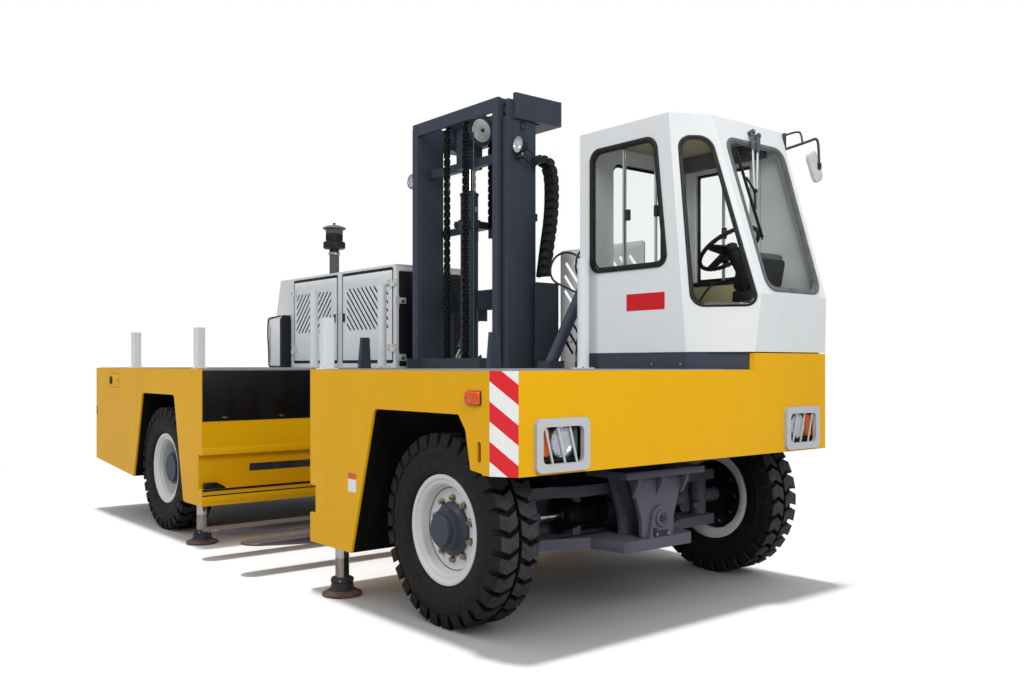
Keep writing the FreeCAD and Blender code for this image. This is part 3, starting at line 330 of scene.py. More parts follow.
# %% The piece, and the tools that add to it
class Piece:
    """A piece being made: a bmesh, the body it rides on (None if it rides on none) and its finishes."""

    def __init__(self, name, body="chassis"):
        self.name, self.body, self.finishes = name, body, []
        self.shape = bmesh.new()

    def join(self, draft, finish, place=None):
        """Merges a draft's doubles, turns its faces outwards and adds it, laid in place."""
        bmesh.ops.remove_doubles(draft, verts=draft.verts, dist=1e-5)
        bmesh.ops.recalc_face_normals(draft, faces=draft.faces)
        if place is not None:
            bmesh.ops.transform(draft, matrix=place, verts=draft.verts)
        wanted = finish if isinstance(finish, list) else [finish]
        self.finishes += [one for one in wanted if one not in self.finishes]
        for face in draft.faces:
            face.material_index = self.finishes.index(wanted[face.material_index])
        mesh = bpy.data.meshes.new("draft")
        draft.to_mesh(mesh)
        draft.free()
        self.shape.from_mesh(mesh)
        bpy.data.meshes.remove(mesh)
        return self

    def block(self, low, high, finish, edge=0.002, place=None):
        """A block between two corners, with small bevels that catch the light."""
        draft = bmesh.new()
        low, high = Vector(low), Vector(high)
        bmesh.ops.create_cube(draft, size=1, matrix=Matrix.LocRotScale((low + high) / 2, None, high - low))
        if edge:
            bevel(draft, draft.edges[:], edge)
        return self.join(draft, finish, place)

    def bar(self, start, end, radius, finish, sides=24, place=None, tip=None):
        """A round bar from one point to another; tip is its far radius if it tapers."""
        start, end = Vector(start), Vector(end)
        far_radius = radius if tip is None else tip
        draft = bmesh.new()
        bmesh.ops.create_cone(draft, cap_ends=True, segments=sides, radius1=radius, radius2=far_radius,
            depth=(end - start).length, matrix=stood((start + end) / 2, end - start))
        return self.join(draft, finish, place)

    def turned(self, outline, origin, along, finish, sides=48, place=None):
        """A lathe shape: (distance along the axis, radius) points spun round it."""
        draft = bmesh.new()
        spots = [draft.verts.new((radius, 0, height)) for height, radius in outline]
        line = [draft.edges.new(pair) for pair in zip(spots, spots[1:])]
        bmesh.ops.spin(draft, geom=spots + line, axis=UP, cent=(0, 0, 0), angle=2 * math.pi, steps=sides,
            use_merge=True)
        turn = stood(origin, along)
        return self.join(draft, finish, turn if place is None else place @ turn)

    def plate(self, outline, place, thick, finish, edge=0, holes=()):
        """A flat outline, less its holes, given its thickness upwards from the drawing."""
        draft = bmesh.new()
        rims = []
        for points in (outline, *holes):
            spots = [draft.verts.new((u, v, 0)) for u, v in points]
            rims += [draft.edges.new(pair) for pair in zip(spots, spots[1:] + spots[:1])]
        bmesh.ops.triangle_fill(draft, edges=rims, use_beauty=True)
        thicken(draft, thick, edge)
        return self.join(draft, finish, place)

    def tiles(self, place, *rows):
        """Oblong plates on one face: (centre, width, height, corner), lift, thickness, finish, edge."""
        for size, lift, thick, finish, *edge in rows:
            self.plate(oblong(*size), place @ shift(z=lift), thick, finish, *edge)

    def ring(self, outline, place, width, thick, finish, edge=0):
        """A frame of one width inside an outline, such as a window seal."""
        draft = drawn(outline)
        face = draft.faces[:][0]
        face.normal_update()
        bmesh.ops.inset_region(draft, faces=[face], thickness=width, use_boundary=True,
            use_even_offset=True)
        bmesh.ops.delete(draft, geom=[face], context="FACES")
        thicken(draft, thick, edge)
        return self.join(draft, finish, place)

    def tube(self, points, radius, finish, closed=False, sides=3, smooth=True):
        """A bent round tube through or near points, as a bevelled curve made into a mesh."""
        line = curve_along(points, "line", radius, smooth, closed, 6, sides)
        return self.join(draft_of(line), finish)

    def bolt(self, place, finish, across=0.019, high=0.008, washer=0):
        """A hexagon head, on a round washer if one is given, standing on the drawing."""
        if washer:
            self.bar((0, 0, 0), (0, 0, 0.003), washer, finish, 16, place)
        base = 0.002 if washer else 0
        return self.bar((0, 0, base), (0, 0, base + high), across / 2, finish, 6, place)

    def done(self, replaces=(), slot="trim", sharp=35):
        """Makes the object, smooth but for its sharp edges, and lets it ride on its body."""
        mesh = bpy.data.meshes.new(self.name)
        self.shape.to_mesh(mesh)
        self.shape.free()
        for finish in self.finishes:
            mesh.materials.append(finish)
        mesh.shade_smooth()
        mesh.set_sharp_from_angle(angle=math.radians(sharp))
        made = bpy.data.objects.new(self.name, mesh)
        scene.collection.objects.link(made)
        if self.body:
            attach(made, self.body)
        if replaces:
            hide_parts(*replaces)
        print(f"{self.name}: {len(mesh.polygons)} faces on {self.body}")
        return made


def shift(x=0, y=0, z=0):
    """A plain move, for placing a drawing within another."""
    return Matrix.Translation((x, y, z))


def turn_about(degrees, axis="Z"):
    """A plain turn about one axis."""
    return Matrix.Rotation(math.radians(degrees), 4, axis)


print("tools ready")

# %% [markdown]
# ## Enamelled steel
# The chassis, mast, cab and wheels are plate steel, shot-blasted and sprayed with
# two-pack enamel. Such paint is never one flat colour: it drifts a little over a large
# panel, carries the orange peel of the spray gun, and gathers dust and thin rain
# streaks, mostly low down. Each of these is one noise at its own real size, and
# together they break up the big panels without spoiling their colour.

# %% Enamel
def new_material(name):
    """A material, its node tree and the object coordinates that every pattern reads."""
    made = bpy.data.materials.new(name)
    made.use_nodes = True
    tree = made.node_tree
    tree.nodes.clear()
    return made, tree, add(tree, "TexCoord").outputs["Object"]


def per_mm(size):
    """The noise scale whose features are about this many millimetres."""
    return 1000 / size


def enamel(name, colour, rough=0.32, dust=0.35, dust_colour="A39A88", peel=0.06, inside=None):
    """Sprayed two-pack enamel: slow drift, dust low down, rain streaks and orange peel."""
    made, tree, where = new_material(name)
    paint = hex_colour(colour)
    drift = add(tree, "TexNoise", {"Vector": where, "Scale": per_mm(700), "Detail": 3})
    clean = add(tree, "Mix", {0: drift, 6: [c * 0.93 for c in paint], 7: [min(1, c * 1.05) for c in paint]},
        data_type="RGBA")
    # dust: dense below the axle, gone above the deck
    height = add(tree, "SeparateXYZ", {0: where}).outputs["Z"]
    low = add(tree, "MapRange", {"Value": height, "From Min": 0.25, "From Max": 1.5, "To Min": 1,
        "To Max": 0.18})
    patch = add(tree, "TexNoise", {"Vector": where, "Scale": per_mm(60), "Detail": 8, "Roughness": 0.65})
    tall = add(tree, "Mapping", {"Vector": where, "Scale": (6, 6, 0.5)})
    streak = add(tree, "TexNoise", {"Vector": tall, "Scale": 2.4, "Detail": 4})
    layer = add(tree, "Math", {0: patch, 1: streak}, operation="MULTIPLY")
    thick = add(tree, "MapRange", {"Value": layer, "From Min": 0.2, "From Max": 0.5, "To Min": 0,
        "To Max": dust})
    film = add(tree, "Math", {0: thick, 1: low}, operation="MULTIPLY")
    dusty = add(tree, "Mix", {0: film, 6: clean, 7: hex_colour(dust_colour)}, data_type="RGBA")
    gloss = add(tree, "MapRange", {"Value": layer, "From Min": 0.1, "From Max": 0.45,
        "To Min": rough - 0.05, "To Max": rough + 0.16})
    shown = dusty
    if inside:
        # a closed box section is brushed with black underseal on its inner faces
        parts = add(tree, "SeparateXYZ", {0: where})
        within = 1
        for axis, (low_end, high_end) in zip("XYZ", inside):
            held = add(tree, "Math", {0: parts.outputs[axis], 1: (low_end + high_end) / 2,
                2: (high_end - low_end) / 2}, operation="COMPARE")
            within = add(tree, "Math", {0: held, 1: within}, operation="MULTIPLY")
        shown = add(tree, "Mix", {0: within, 6: shown, 7: hex_colour("141312")}, data_type="RGBA")
    # orange peel is 1 to 2 mm on the real panel and drawn at 7 mm so that it shows
    skin = add(tree, "TexNoise", {"Vector": where, "Scale": per_mm(7), "Detail": 1})
    bump = add(tree, "Bump", {"Height": skin, "Strength": peel, "Distance": 0.001})
    coat = add(tree, "BsdfPrincipled", {"Base Color": shown, "Roughness": gloss, "Normal": bump,
        "IOR": 1.28})
    add(tree, "OutputMaterial", {"Surface": coat})
    return made


CHASSIS_YELLOW = ("E8AE04", 0.34, 0.1, "8F7C3C", 0.06)
SECTION_SIDE, SECTION_TOP = (-1.335, 1.335), (0, 1.375)
YELLOW = enamel("enamel_yellow", *CHASSIS_YELLOW)
YELLOW_REAR = enamel("enamel_yellow_rear", *CHASSIS_YELLOW, ((-3.215, -0.8), SECTION_SIDE, SECTION_TOP))
YELLOW_FRONT = enamel("enamel_yellow_front", *CHASSIS_YELLOW, ((1.5, 3.222), SECTION_SIDE, SECTION_TOP))
SLATE = enamel("enamel_slate", "3C4350", 0.34, 0.12)
AXLE_PAINT = enamel("enamel_axle_slate", "595967", 0.4, 0.06)
LAMP_FRAME = enamel("enamel_lamp_frame", "BDC0C4", 0.34, 0.05)
PALE = enamel("enamel_pale_grey", "DCDFE1", 0.3, 0.1)
RIM_GREY = enamel("enamel_rim_grey", "D3D5D6", 0.38, 0.16)
BLACK_PAINT = enamel("enamel_black", "0A0A0B", 0.4, 0.04)
JACK_RED = enamel("primer_oxide", "5A403C", 0.55, 0.3)
DARK_STEEL = enamel("enamel_charcoal", "2C2F36", 0.42, 0.12)
LINING = enamel("lining_olive", "AFA680", 0.6, 0.1, peel=0.2)
print(len(bpy.data.materials), "materials so far")

# %% [markdown]
# ## Metals
# Hydraulic rods are ground and hard-chromed, so they mirror the sky with a very thin
# lengthwise haze of oil. Nuts and screws are zinc-plated and passivated, a warm, cloudy
# grey. The lifting chains are bare steel soaked in dark grease. Fork blades start out
# painted and are scraped bright by every load. One function makes them all: a metal is
# a colour, a roughness, a cloud of a second colour, and brush lines if it was ground.

# %% Metal
def clouded(tree, where, colour, cloud, spot, detail, spread, rough):
    """A colour clouded by a second one, and a roughness that follows the same cloud."""
    noise = add(tree, "TexNoise", {"Vector": where, "Scale": per_mm(spot), "Detail": detail[0],
        "Roughness": detail[1]})
    share = add(tree, "MapRange", {"Value": noise, "From Min": spread[0], "From Max": spread[1]})
    mixed = add(tree, "Mix", {0: share, 6: hex_colour(colour), 7: hex_colour(cloud)}, data_type="RGBA")
    gloss = add(tree, "MapRange", {"Value": noise, "From Min": 0.3, "From Max": 0.7, "To Min": rough[0],
        "To Max": rough[1]})
    return mixed, gloss


def metal(name, colour, cloud, rough=0.25, metallic=1, spot=40, lines=None, bump=0.05):
    """Metal with a cloudy second colour; lines stretches the cloud along one axis."""
    made, tree, where = new_material(name)
    if lines:
        where = add(tree, "Mapping", {"Vector": where, "Scale": lines})
    mixed, gloss = clouded(tree, where, colour, cloud, spot, (7, 0.6), (0.38, 0.68),
        (rough * 0.75, rough * 1.45))
    grain = add(tree, "TexNoise", {"Vector": where, "Scale": per_mm(3), "Detail": 3})
    dents = add(tree, "Bump", {"Height": grain, "Strength": bump, "Distance": 0.0006})
    face = add(tree, "BsdfPrincipled", {"Base Color": mixed, "Metallic": metallic, "Roughness": gloss,
        "Normal": dents})
    add(tree, "OutputMaterial", {"Surface": face})
    return made


CHROME = metal("hard_chrome", "D4D6D8", "B9B2A8", 0.07, lines=(1, 1, 0.08))
OILED_CHROME = metal("hard_chrome_oiled", "B4ADA6", "7C6A5C", 0.12, lines=(1, 1, 0.1))
ZINC = metal("zinc_plate", "B9B4A6", "8F7A5A", 0.32, spot=9)
STEEL = metal("turned_steel", "A9ACAF", "8A8C8E", 0.28, spot=25)
CHAIN_STEEL = metal("greased_chain_steel", "34353A", "101114", 0.3, 0.85, spot=12)
BRASS = metal("brass", "B58E3F", "8C6A2C", 0.28, spot=10)
REFLECTOR = metal("spun_aluminium", "E4E6E8", "C8CBCE", 0.1, spot=18)
FORK_STEEL = metal("scraped_fork_steel", "77727C", "4E4B55", 0.34, 0.75, spot=60, lines=(1, 0.08, 1),
    bump=0.2)
CAST = metal("cast_iron", "4A4D50", "33363A", 0.6, 0.35, spot=14, bump=0.5)
print("metals ready")

# %% [markdown]
# ## Rubber and moulded plastic
# Solid tyres are carbon-black rubber. Their lug tops are paler than the walls, partly
# rubbed by wear and partly a painted highlight of the light that falls on the tread.
# Seals and hoses are smoother. Lamp housings and the energy chain are moulded ABS with
# a fine spark-eroded grain. All of them are dull: most of what the eye reads is a broad
# sheen, broken up by a bump at the size of the grain.

# %% Rubber and plastic
def dull(name, colour, second, rough=0.6, spot=30, grain=2, bump=0.25):
    """A dull moulded surface of two mixed colours with a grain of so many millimetres."""
    made, tree, where = new_material(name)
    mixed, gloss = clouded(tree, where, colour, second, spot, (8, 0.62), (0.36, 0.7),
        (rough - 0.08, rough + 0.12))
    fine = add(tree, "TexVoronoi", {"Vector": where, "Scale": per_mm(grain)}, feature="SMOOTH_F1")
    dents = add(tree, "Bump", {"Height": fine, "Strength": bump, "Distance": 0.0008})
    face = add(tree, "BsdfPrincipled", {"Base Color": mixed, "Roughness": gloss, "Normal": dents,
        "IOR": 1.36})
    add(tree, "OutputMaterial", {"Surface": face})
    return made


# the real grain of these mouldings is under 1 mm, drawn at 3 to 6 mm so that it shows
TYRE_WALL = dull("tyre_sidewall", "141110", "0D0C0B", 0.62, 45, 5, 0.2)
# tread tops: partly rubbed paler, partly a painted highlight of the light on them
TYRE_LUG = dull("tyre_tread", "3D3D3F", "272627", 0.7, 35, 6, 0.45)
SEAL = dull("seal_rubber", "0E0F10", "17181A", 0.42, 60, 4, 0.1)
HOSE = dull("hose_rubber", "16171A", "25272A", 0.45, 30, 4, 0.3)
BLACK_ABS = dull("moulded_plastic_black", "1B1C1F", "26272A", 0.5, 50, 3, 0.25)
GREY_ABS = dull("moulded_plastic_grey", "5B5F66", "484C53", 0.5, 40, 3, 0.25)
SILVER_ABS = dull("moulded_plastic_silver", "D0D2D3", "BEC1C3", 0.34, 50, 4, 0.12)
# a dark brown for the fine line along the crease where a rim's disc meets its barrel
RIM_DARK_LINE = dull("greasy_dirt", "2B2620", "3D352B", 0.7, 20, 6, 0.7)
WHITE_LABEL = dull("blank_label_white", "EDEDEA", "E2E2DE", 0.35, 30, 4, 0.05)
YELLOW_LABEL = dull("blank_label_yellow", "D8C21E", "CDB61A", 0.35, 30, 4, 0.05)
ORANGE_LABEL = dull("blank_label_orange", "E2622A", "D65A24", 0.35, 30, 4, 0.05)
GREEN_HOSE = dull("hose_green", "2F5E49", "264C3C", 0.4, 20, 4, 0.1)
print("dull finishes ready")

# %% [markdown]
# ## Reflective tape
# The warning stripes are glass-bead reflective sheeting: saturated red and plain white
# with a faint honeycomb under a clear film. The real cells are 3 mm wide and are drawn
# at 8 mm so that they show up close. The film makes it glossier than the paint.

# %% Tape
def tape(name, colour):
    """Reflective sheeting: flat colour, faint honeycomb cells and a clear film."""
    made, tree, where = new_material(name)
    cells = add(tree, "TexVoronoi", {"Vector": where, "Scale": per_mm(8)}, feature="DISTANCE_TO_EDGE")
    rim = add(tree, "MapRange", {"Value": cells, "From Max": 0.12})
    tint = add(tree, "Mix", {0: rim, 6: [c * 0.86 for c in hex_colour(colour)], 7: hex_colour(colour)},
        data_type="RGBA")
    film = add(tree, "BsdfPrincipled", {"Base Color": tint, "Roughness": 0.24, "Coat Weight": 0.12,
        "Coat Roughness": 0.1, "Specular IOR Level": 0.3})
    add(tree, "OutputMaterial", {"Surface": film})
    return made


TAPE_RED = tape("reflective_tape_red", "E32531")
TAPE_WHITE = tape("reflective_tape_white", "F0F0EE")
print("tape ready")

# %% [markdown]
# ## Glass and lamp lenses
# Cab windows are 5 mm safety glass. A thin flat pane hardly bends light, so it is a
# see-through sheet whose mirror-like share grows at a glancing angle. That lets
# daylight into the cab, which true refraction would need far more samples to do. Lamp
# lenses are moulded acrylic over a bright reflector: a tinted see-through layer under
# a strong gloss, with moulded ribs.

# %% Glass
def pane(name, tint, mirror):
    """A thin clear sheet that mirrors more at a glancing angle."""
    made, tree, where = new_material(name)
    through = add(tree, "BsdfTransparent", {"Color": hex_colour(tint)})
    wave = add(tree, "TexNoise", {"Vector": where, "Scale": 1.6, "Detail": 1})
    bend = add(tree, "Bump", {"Height": wave, "Strength": 0.05, "Distance": 0.002})
    gloss = add(tree, "BsdfGlossy", {"Color": (1, 1, 1, 1), "Roughness": 0.03, "Normal": bend})
    edge = add(tree, "LayerWeight", {"Blend": mirror})
    both = add(tree, "MixShader", {0: edge, 1: through, 2: gloss})
    add(tree, "OutputMaterial", {"Surface": both})
    return made


def lens(name, colour, clear):
    """Moulded acrylic: part see-through, part coloured body, all glossy."""
    made, tree, where = new_material(name)
    ribs = add(tree, "TexWave", {"Vector": where, "Scale": 28}, bands_direction="Y")
    bend = add(tree, "Bump", {"Height": ribs.outputs["Fac"], "Strength": 0.3, "Distance": 0.002})
    body = add(tree, "BsdfPrincipled", {"Base Color": hex_colour(colour), "Roughness": 0.08, "Normal": bend,
        "IOR": 1.49, "Coat Weight": 0.6})
    through = add(tree, "BsdfTransparent", {"Color": hex_colour(colour)})
    both = add(tree, "MixShader", {0: clear, 1: body, 2: through})
    add(tree, "OutputMaterial", {"Surface": both})
    return made


WINDOW = pane("safety_glass", "FBFCFB", 0.06)
CLEAR_LENS = lens("acrylic_clear", "F4F7FA", 0.72)
AMBER = lens("acrylic_amber", "F0601C", 0.18)
SMOKED = lens("acrylic_smoked", "6E7478", 0.45)
MIRROR_GLASS = metal("silvered_glass", "EDEFF0", "E4E7E9", 0.02, bump=0)
print(len(bpy.data.materials), "materials")

# %% Finishes of the CAD nodes that keep their shape
def finish_nodes(finish, *names):
    """Gives CAD nodes a finish through their objects' own material slots."""
    for name in names:
        for place in nodes[name].material_slots:
            place.link = "OBJECT"
            place.material = finish
    print(finish.name, "on", ", ".join(names))


finish_nodes(YELLOW_REAR, "rear_section")
finish_nodes(YELLOW_FRONT, "front_section")
finish_nodes(YELLOW, "main_beam")
finish_nodes(AXLE_PAINT, "rear_axle", "front_axle", "axle_hanger", "knuckle_left", "knuckle_right")
finish_nodes(SLATE, "outer_mast", "lift_cylinder", "inner_mast", "crosshead", "fork_carriage",
    "reach_carriage", "cab_plinth", "brace_tube", "tilt_barrels", "guide_wedges")
finish_nodes(PALE, "engine_hood", "hood_door_rear", "hood_door_front", "cab_shell", "cab_door",
    "guard_posts", "load_stakes", "deck_box", "guard_sheet", "mirror")
finish_nodes(LAMP_FRAME, "headlamp_guards")
finish_nodes(CHROME, "steering_rod", "tilt_rods", "jack_leg_front", "jack_leg_rear")
finish_nodes(CHAIN_STEEL, "chain_front_runs", "chain_back_runs")
finish_nodes(BLACK_ABS, "console", "steering_wheel", "driver_seat", "work_lights", "cable_chain")
finish_nodes(CAST, "engine_block", "valve_block", "fuel_tank", "pre_cleaner")
finish_nodes(FORK_STEEL, "forks")
finish_nodes(TYRE_WALL, *[name for name in nodes if name.startswith("tyre_")])
finish_nodes(RIM_GREY, *[name for name in nodes if name.startswith("rim_")])
finish_nodes(WINDOW, "cab_glass", "cab_door_glass")

# %% [markdown]
# ## Tyres
# These are solid industrial tyres. The carcass is a lathe shape with a thin mould ring
# on each wall. Thirty chevron lugs a side stand on it, the two rows half a pitch apart,
# so that a zig-zag groove runs between them. One lug is drawn flat, given its depth,
# wrapped onto the tyre and copied round by a spin that duplicates. Its top is paler
# than its sides, partly worn and partly a painted highlight, so it gets its own finish.

# %% Tyre
TYRE_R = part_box("tyre_front_right")[1][2] / 2
HALF_TYRE = 0.1375
LUGS = 30
pitch = 2 * math.pi * TYRE_R / LUGS
carcass = [(0.1, 0.294), (0.104, 0.306), (0.112, 0.311), (0.1165, 0.313), (0.118, 0.317), (0.1215, 0.322),
    (0.128, 0.345), (0.133, 0.375), (0.1352, 0.402), (0.1368, 0.404), (0.1368, 0.409), (0.1352, 0.411),
    (0.1345, 0.436), (0.1305, 0.455), (0.1235, 0.475), (0.112, 0.489), (0, 0.491)]
carcass = carcass + [(-y, r) for y, r in reversed(carcass[:-1])]


def lug_row(piece, side, along, origin):
    """One row of lugs on the outer (+1) or inner (-1) half of a tyre."""
    half = pitch / 2 - 0.013
    inner, outer, peak = 0.009, HALF_TYRE, 0.068
    drawing = [(inner, -half - 0.012), (peak, -half + 0.022), (outer, -half + 0.002), (outer, half - 0.006),
        (peak, half + 0.02), (inner, half - 0.014)]
    draft = drawn([(y * side, s) for y, s in drawing], 0.453)
    thicken(draft, TYRE_R - 0.453)
    bmesh.ops.bisect_plane(draft, geom=all_of(draft), plane_co=(0, 0, 0.478), plane_no=UP)
    for spot in draft.verts:
        if spot.co.z > 0.52 and abs(spot.co.x) > 0.12:
            spot.co.x = side * 0.127
    bmesh.ops.recalc_face_normals(draft, faces=draft.faces)
    crest = [e for e in draft.edges if all(v.co.z > 0.52 for v in e.verts)]
    bevel(draft, crest, 0.0028, 1)
    # outward-facing lug tops get the paler tread finish: wear plus a painted highlight
    for face in draft.faces:
        face.material_index = int(face.normal.z > 0.8)
    for spot in draft.verts:
        around, radius = spot.co.y / TYRE_R, spot.co.z
        spot.co = (radius * math.sin(around), radius * math.cos(around), spot.co.x)
    step = 2 * math.pi / LUGS
    bmesh.ops.rotate(draft, verts=draft.verts, cent=(0, 0, 0), matrix=Matrix.Rotation(step / 2
        if side > 0 else 0, 3, "Z"))
    bmesh.ops.spin(draft, geom=all_of(draft), axis=UP, cent=(0, 0, 0), angle=step * (LUGS - 1),
        steps=LUGS - 1, use_duplicate=True)
    piece.join(draft, [TYRE_WALL, TYRE_LUG], stood(origin, along))

# %% [markdown]
# ## Rims and hubs
# A heavy truck rim is rolled in parts: a rounded flange holds the tyre, a lock ring
# sits in a gutter beside it, and the disc lies deep inside. All of it is one lathe
# profile, spun. Ten zinc-plated nuts clamp the disc, and the dark hub steps out
# through it to a flat cap. The rear discs lie deeper, because their hubs hold gears.

# %% Wheels
def centre_of(name):
    """The middle of a CAD node's box."""
    low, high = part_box(name)
    return (Vector(low) + Vector(high)) / 2


def wheel(where, disc, hub, hub_end, bolts):
    """A tyre and a rim; disc and hub_end are distances outwards from the tyre's middle."""
    tyre_name, rim_name, body = f"tyre_{where}", f"rim_{where}", f"wheel_{where}"
    middle = centre_of(tyre_name)
    side = 1 if middle.y > 0 else -1
    along = (0, side, 0)
    tyre = Piece(f"{tyre_name}_treaded", body)
    tyre.turned(carcass, middle, along, TYRE_WALL, 90)
    for row in (1, -1):
        lug_row(tyre, row, along, middle)
    tyre.done([tyre_name], "tyre", sharp=30)
    rim = Piece(f"{rim_name}_dressed", body)
    face = disc + 0.018
    rim.turned([(disc, 0.0485), (disc, 0.222), (disc - 0.004, 0.232), (-0.096, 0.236), (-0.108, 0.262),
        (-0.11, 0.292), (-0.107, 0.3), (-0.101, 0.3), (-0.099, 0.292), (-0.099, 0.262), (-0.08, 0.2585),
        (0.08, 0.2585), (0.098, 0.262), (0.099, 0.292), (0.101, 0.2995), (0.107, 0.2995), (0.11, 0.293),
        (0.1095, 0.282), (0.104, 0.273), (0.0955, 0.2695), (0.093, 0.2655), (0.0955, 0.261),
        (0.0965, 0.254), (0.092, 0.247), (0.084, 0.243), (0.08, 0.2385), (0.06, 0.235), (0.056, 0.2315),
        (face + 0.004, 0.2285), (face + 0.0005, 0.223), (face, 0.216), (face, hub + 0.001)], middle, along,
        RIM_GREY, 80)
    # the disc meets the barrel in a fine dark line, laid along the crease between them
    rim.turned([(face + 0.0006, 0.2215), (face + 0.0028, 0.2262)], middle, along, RIM_DARK_LINE, 80)
    rim.turned([(disc, 0.0485), (disc, hub), (face, hub + 0.002), (face + 0.008, hub + 0.03),
        (face + 0.016, hub + 0.027), (face + 0.024, hub + 0.006), (face + 0.034, hub - 0.004),
        (hub_end - 0.03, hub - 0.008), (hub_end - 0.026, hub - 0.03), (hub_end - 0.003, hub - 0.032),
        (hub_end, hub - 0.036), (hub_end, 0)], middle, along, SLATE, 64)
    looks, away = ("far", "near") if side > 0 else ("near", "far")
    outside = face_of(looks, middle.x, middle.y + side * face, middle.z)
    for i, spot in enumerate(arc(0.1675, range(18, 360, 36))):
        place = outside @ shift(*spot) @ turn_about(17 * i)
        rim.bolt(place, ZINC, 0.034, 0.019, 0.0225)
        rim.bar((0, 0, 0.014), (0, 0, 0.028), 0.0095, ZINC, 12, place, 0.008)
    for spot in arc(hub - 0.0135, [360 * i / bolts for i in range(bolts)]):
        rim.bolt(outside @ shift(*spot, 0.014), DARK_STEEL, 0.016, 0.01)
    rim.turned([(disc - 0.001, 0.0485), (-0.075, 0.0485), (-0.075, 0.212), (-0.068, 0.222),
        (disc - 0.001, 0.222)], middle, along, BLACK_PAINT, 48)
    inside = face_of(away, middle.x, middle.y - side * 0.075, middle.z)
    for spot in arc(0.185, range(0, 360, 36)):
        rim.bolt(inside @ shift(*spot), ZINC, 0.02, 0.01)
    rim.done([rim_name], "rim_paint")


for side in ("left", "right"):
    wheel(f"front_{side}", 0.02, 0.118, 0.134, 8)
for side in ("left", "right"):
    wheel(f"rear_{side}", -0.07, 0.15, 0.07, 14)

# %% [markdown]
# ## Warning stripes
# The bumper's corner at the load side is cut off at an angle and covered with red and
# white tape. A striped texture would do, but tape is laid in strips whose edges stand
# a little proud. So each band is one slanted strip, bisected at the panel's four sides
# as the fitter's knife does.

# %% Strips cut off at a panel's edges
def clipped(points, low, high):
    """A flat outline cut off at the sides of a rectangle."""
    draft = drawn(points)
    for spot, away in ((low, (-1, 0, 0)), (low, (0, -1, 0)), (high, (1, 0, 0)), (high, (0, 1, 0))):
        bmesh.ops.bisect_plane(draft, geom=all_of(draft), plane_co=(*spot, 0), plane_no=away,
            clear_outer=True)
    made = [(loop.vert.co.x, loop.vert.co.y) for face in draft.faces for loop in face.loops]
    draft.free()
    return made


CHAMFER = lay((3.092, -1.35, 0.87), (0.133, 0.074, 0), UP)
CHAMFER_SIZE = (0.152, 0.515)
BAND, FALL = 0.098, 0.115

stripes = Piece("corner_stripes")
for number in range(-1, 6):
    top = 0.563 - BAND * number
    strip = [(0, top - BAND), (0.152, top - BAND - FALL), (0.152, top - FALL), (0, top)]
    stripes.plate(clipped(strip, (0, 0), CHAMFER_SIZE), CHAMFER, 0.001, TAPE_WHITE
        if number % 2 else TAPE_RED)
stripes.done(slot="yellow_paint")

# %% [markdown]
# ## Headlamps
# Each lamp sits in a pocket in the bumper: a black moulded housing, an amber indicator
# on the outer side and a round reflector under a faceted glass. In front is a steel
# guard with three slanted bars. The two lamps mirror each other, so one function with a
# sign makes both.

# %% Lamps in their pockets
POCKET = (0.276, 0.184)


def headlamp(name, y, outer):
    """A lamp pocket from y on; outer is -1 if the indicator is on the low-y side."""
    pocket = face_of("front", 3.19, y, 0.924)
    wide, tall = POCKET

    def across(u):
        return u if outer < 0 else wide - u

    unit = Piece(name)
    unit.plate(oblong(wide / 2, tall / 2, wide - 0.002, tall - 0.002, 0.01), pocket, 0.004, BLACK_ABS)
    middle = pocket @ shift(across(0.156), 0.105, 0.004)
    unit.turned([(0, 0), (0.001, 0.03), (0.009, 0.06), (0.02, 0.072), (0.02, 0.077), (0, 0.077), (0, 0)],
        (0, 0, 0), UP, REFLECTOR, 32, middle)
    for k in range(10):
        facet = middle @ turn_about(36 * k)
        unit.block((0.03, -0.012, 0.006), (0.062, 0.012, 0.012), REFLECTOR, 0.003, facet)
    unit.bar((0, 0, 0), (0, 0, 0.018), 0.011, CLEAR_LENS, 12, middle)
    unit.turned([(0.019, 0.074), (0.026, 0.07), (0.031, 0.05), (0.034, 0), (0.019, 0), (0.019, 0.074)],
        (0, 0, 0), UP, CLEAR_LENS, 32, middle)
    unit.turned([(0, 0.084), (0.024, 0.084), (0.024, 0.077), (0, 0.077), (0, 0.084)], (0, 0, 0), UP,
        GREY_ABS, 32, middle)
    unit.plate(oblong(across(0.036), 0.105, 0.062, 0.142, 0.012), pocket @ shift(z=0.004), 0.026, AMBER,
        0.008)
    for k in range(5):
        unit.block((-0.028, 0.042 + 0.026 * k, 0.029), (0.028, 0.048 + 0.026 * k, 0.0325), AMBER, 0.001,
            pocket @ shift(across(0.036)))
    unit.block((0.004, 0.004, 0.004), (wide - 0.004, 0.022, 0.018), BLACK_ABS, 0.004, pocket)
    unit.plate(oblong(across(0.256), 0.1, 0.026, 0.15, 0.008), pocket @ shift(z=0.004), 0.014, GREY_ABS,
        0.003)
    for foot, head in ((0.075, 0.022), (0.158, 0.105), (0.24, 0.187)):
        bar = [(across(foot) - 0.007, -0.006), (across(foot) + 0.007, -0.006),
            (across(head) + 0.007, tall + 0.006), (across(head) - 0.007, tall + 0.006)]
        unit.plate(bar, face_of("front", 3.234, y, 0.924), 0.005, LAMP_FRAME, 0.0015)
    for u in (-0.021, wide + 0.021):
        unit.bar((u, 0.092, 0.058), (u, 0.092, 0.0598), 0.007, BRASS, 16, pocket)
        unit.bolt(pocket @ shift(u, 0.092, 0.0575), BRASS, 0.009, 0.0022)
    return unit.done(slot="lamp")


headlamp("headlamp_near", -1.138, -1)
headlamp("headlamp_far", 0.932, 1)

# %% [markdown]
# ## Marker lamp, labels and the rear locker
# The near side panel carries an amber marker lamp held by two screws, blank labels,
# and at the tail a flush locker door with a black latch. All are plates that stand a
# little proud, because a shadow line at the edge is what shows them.

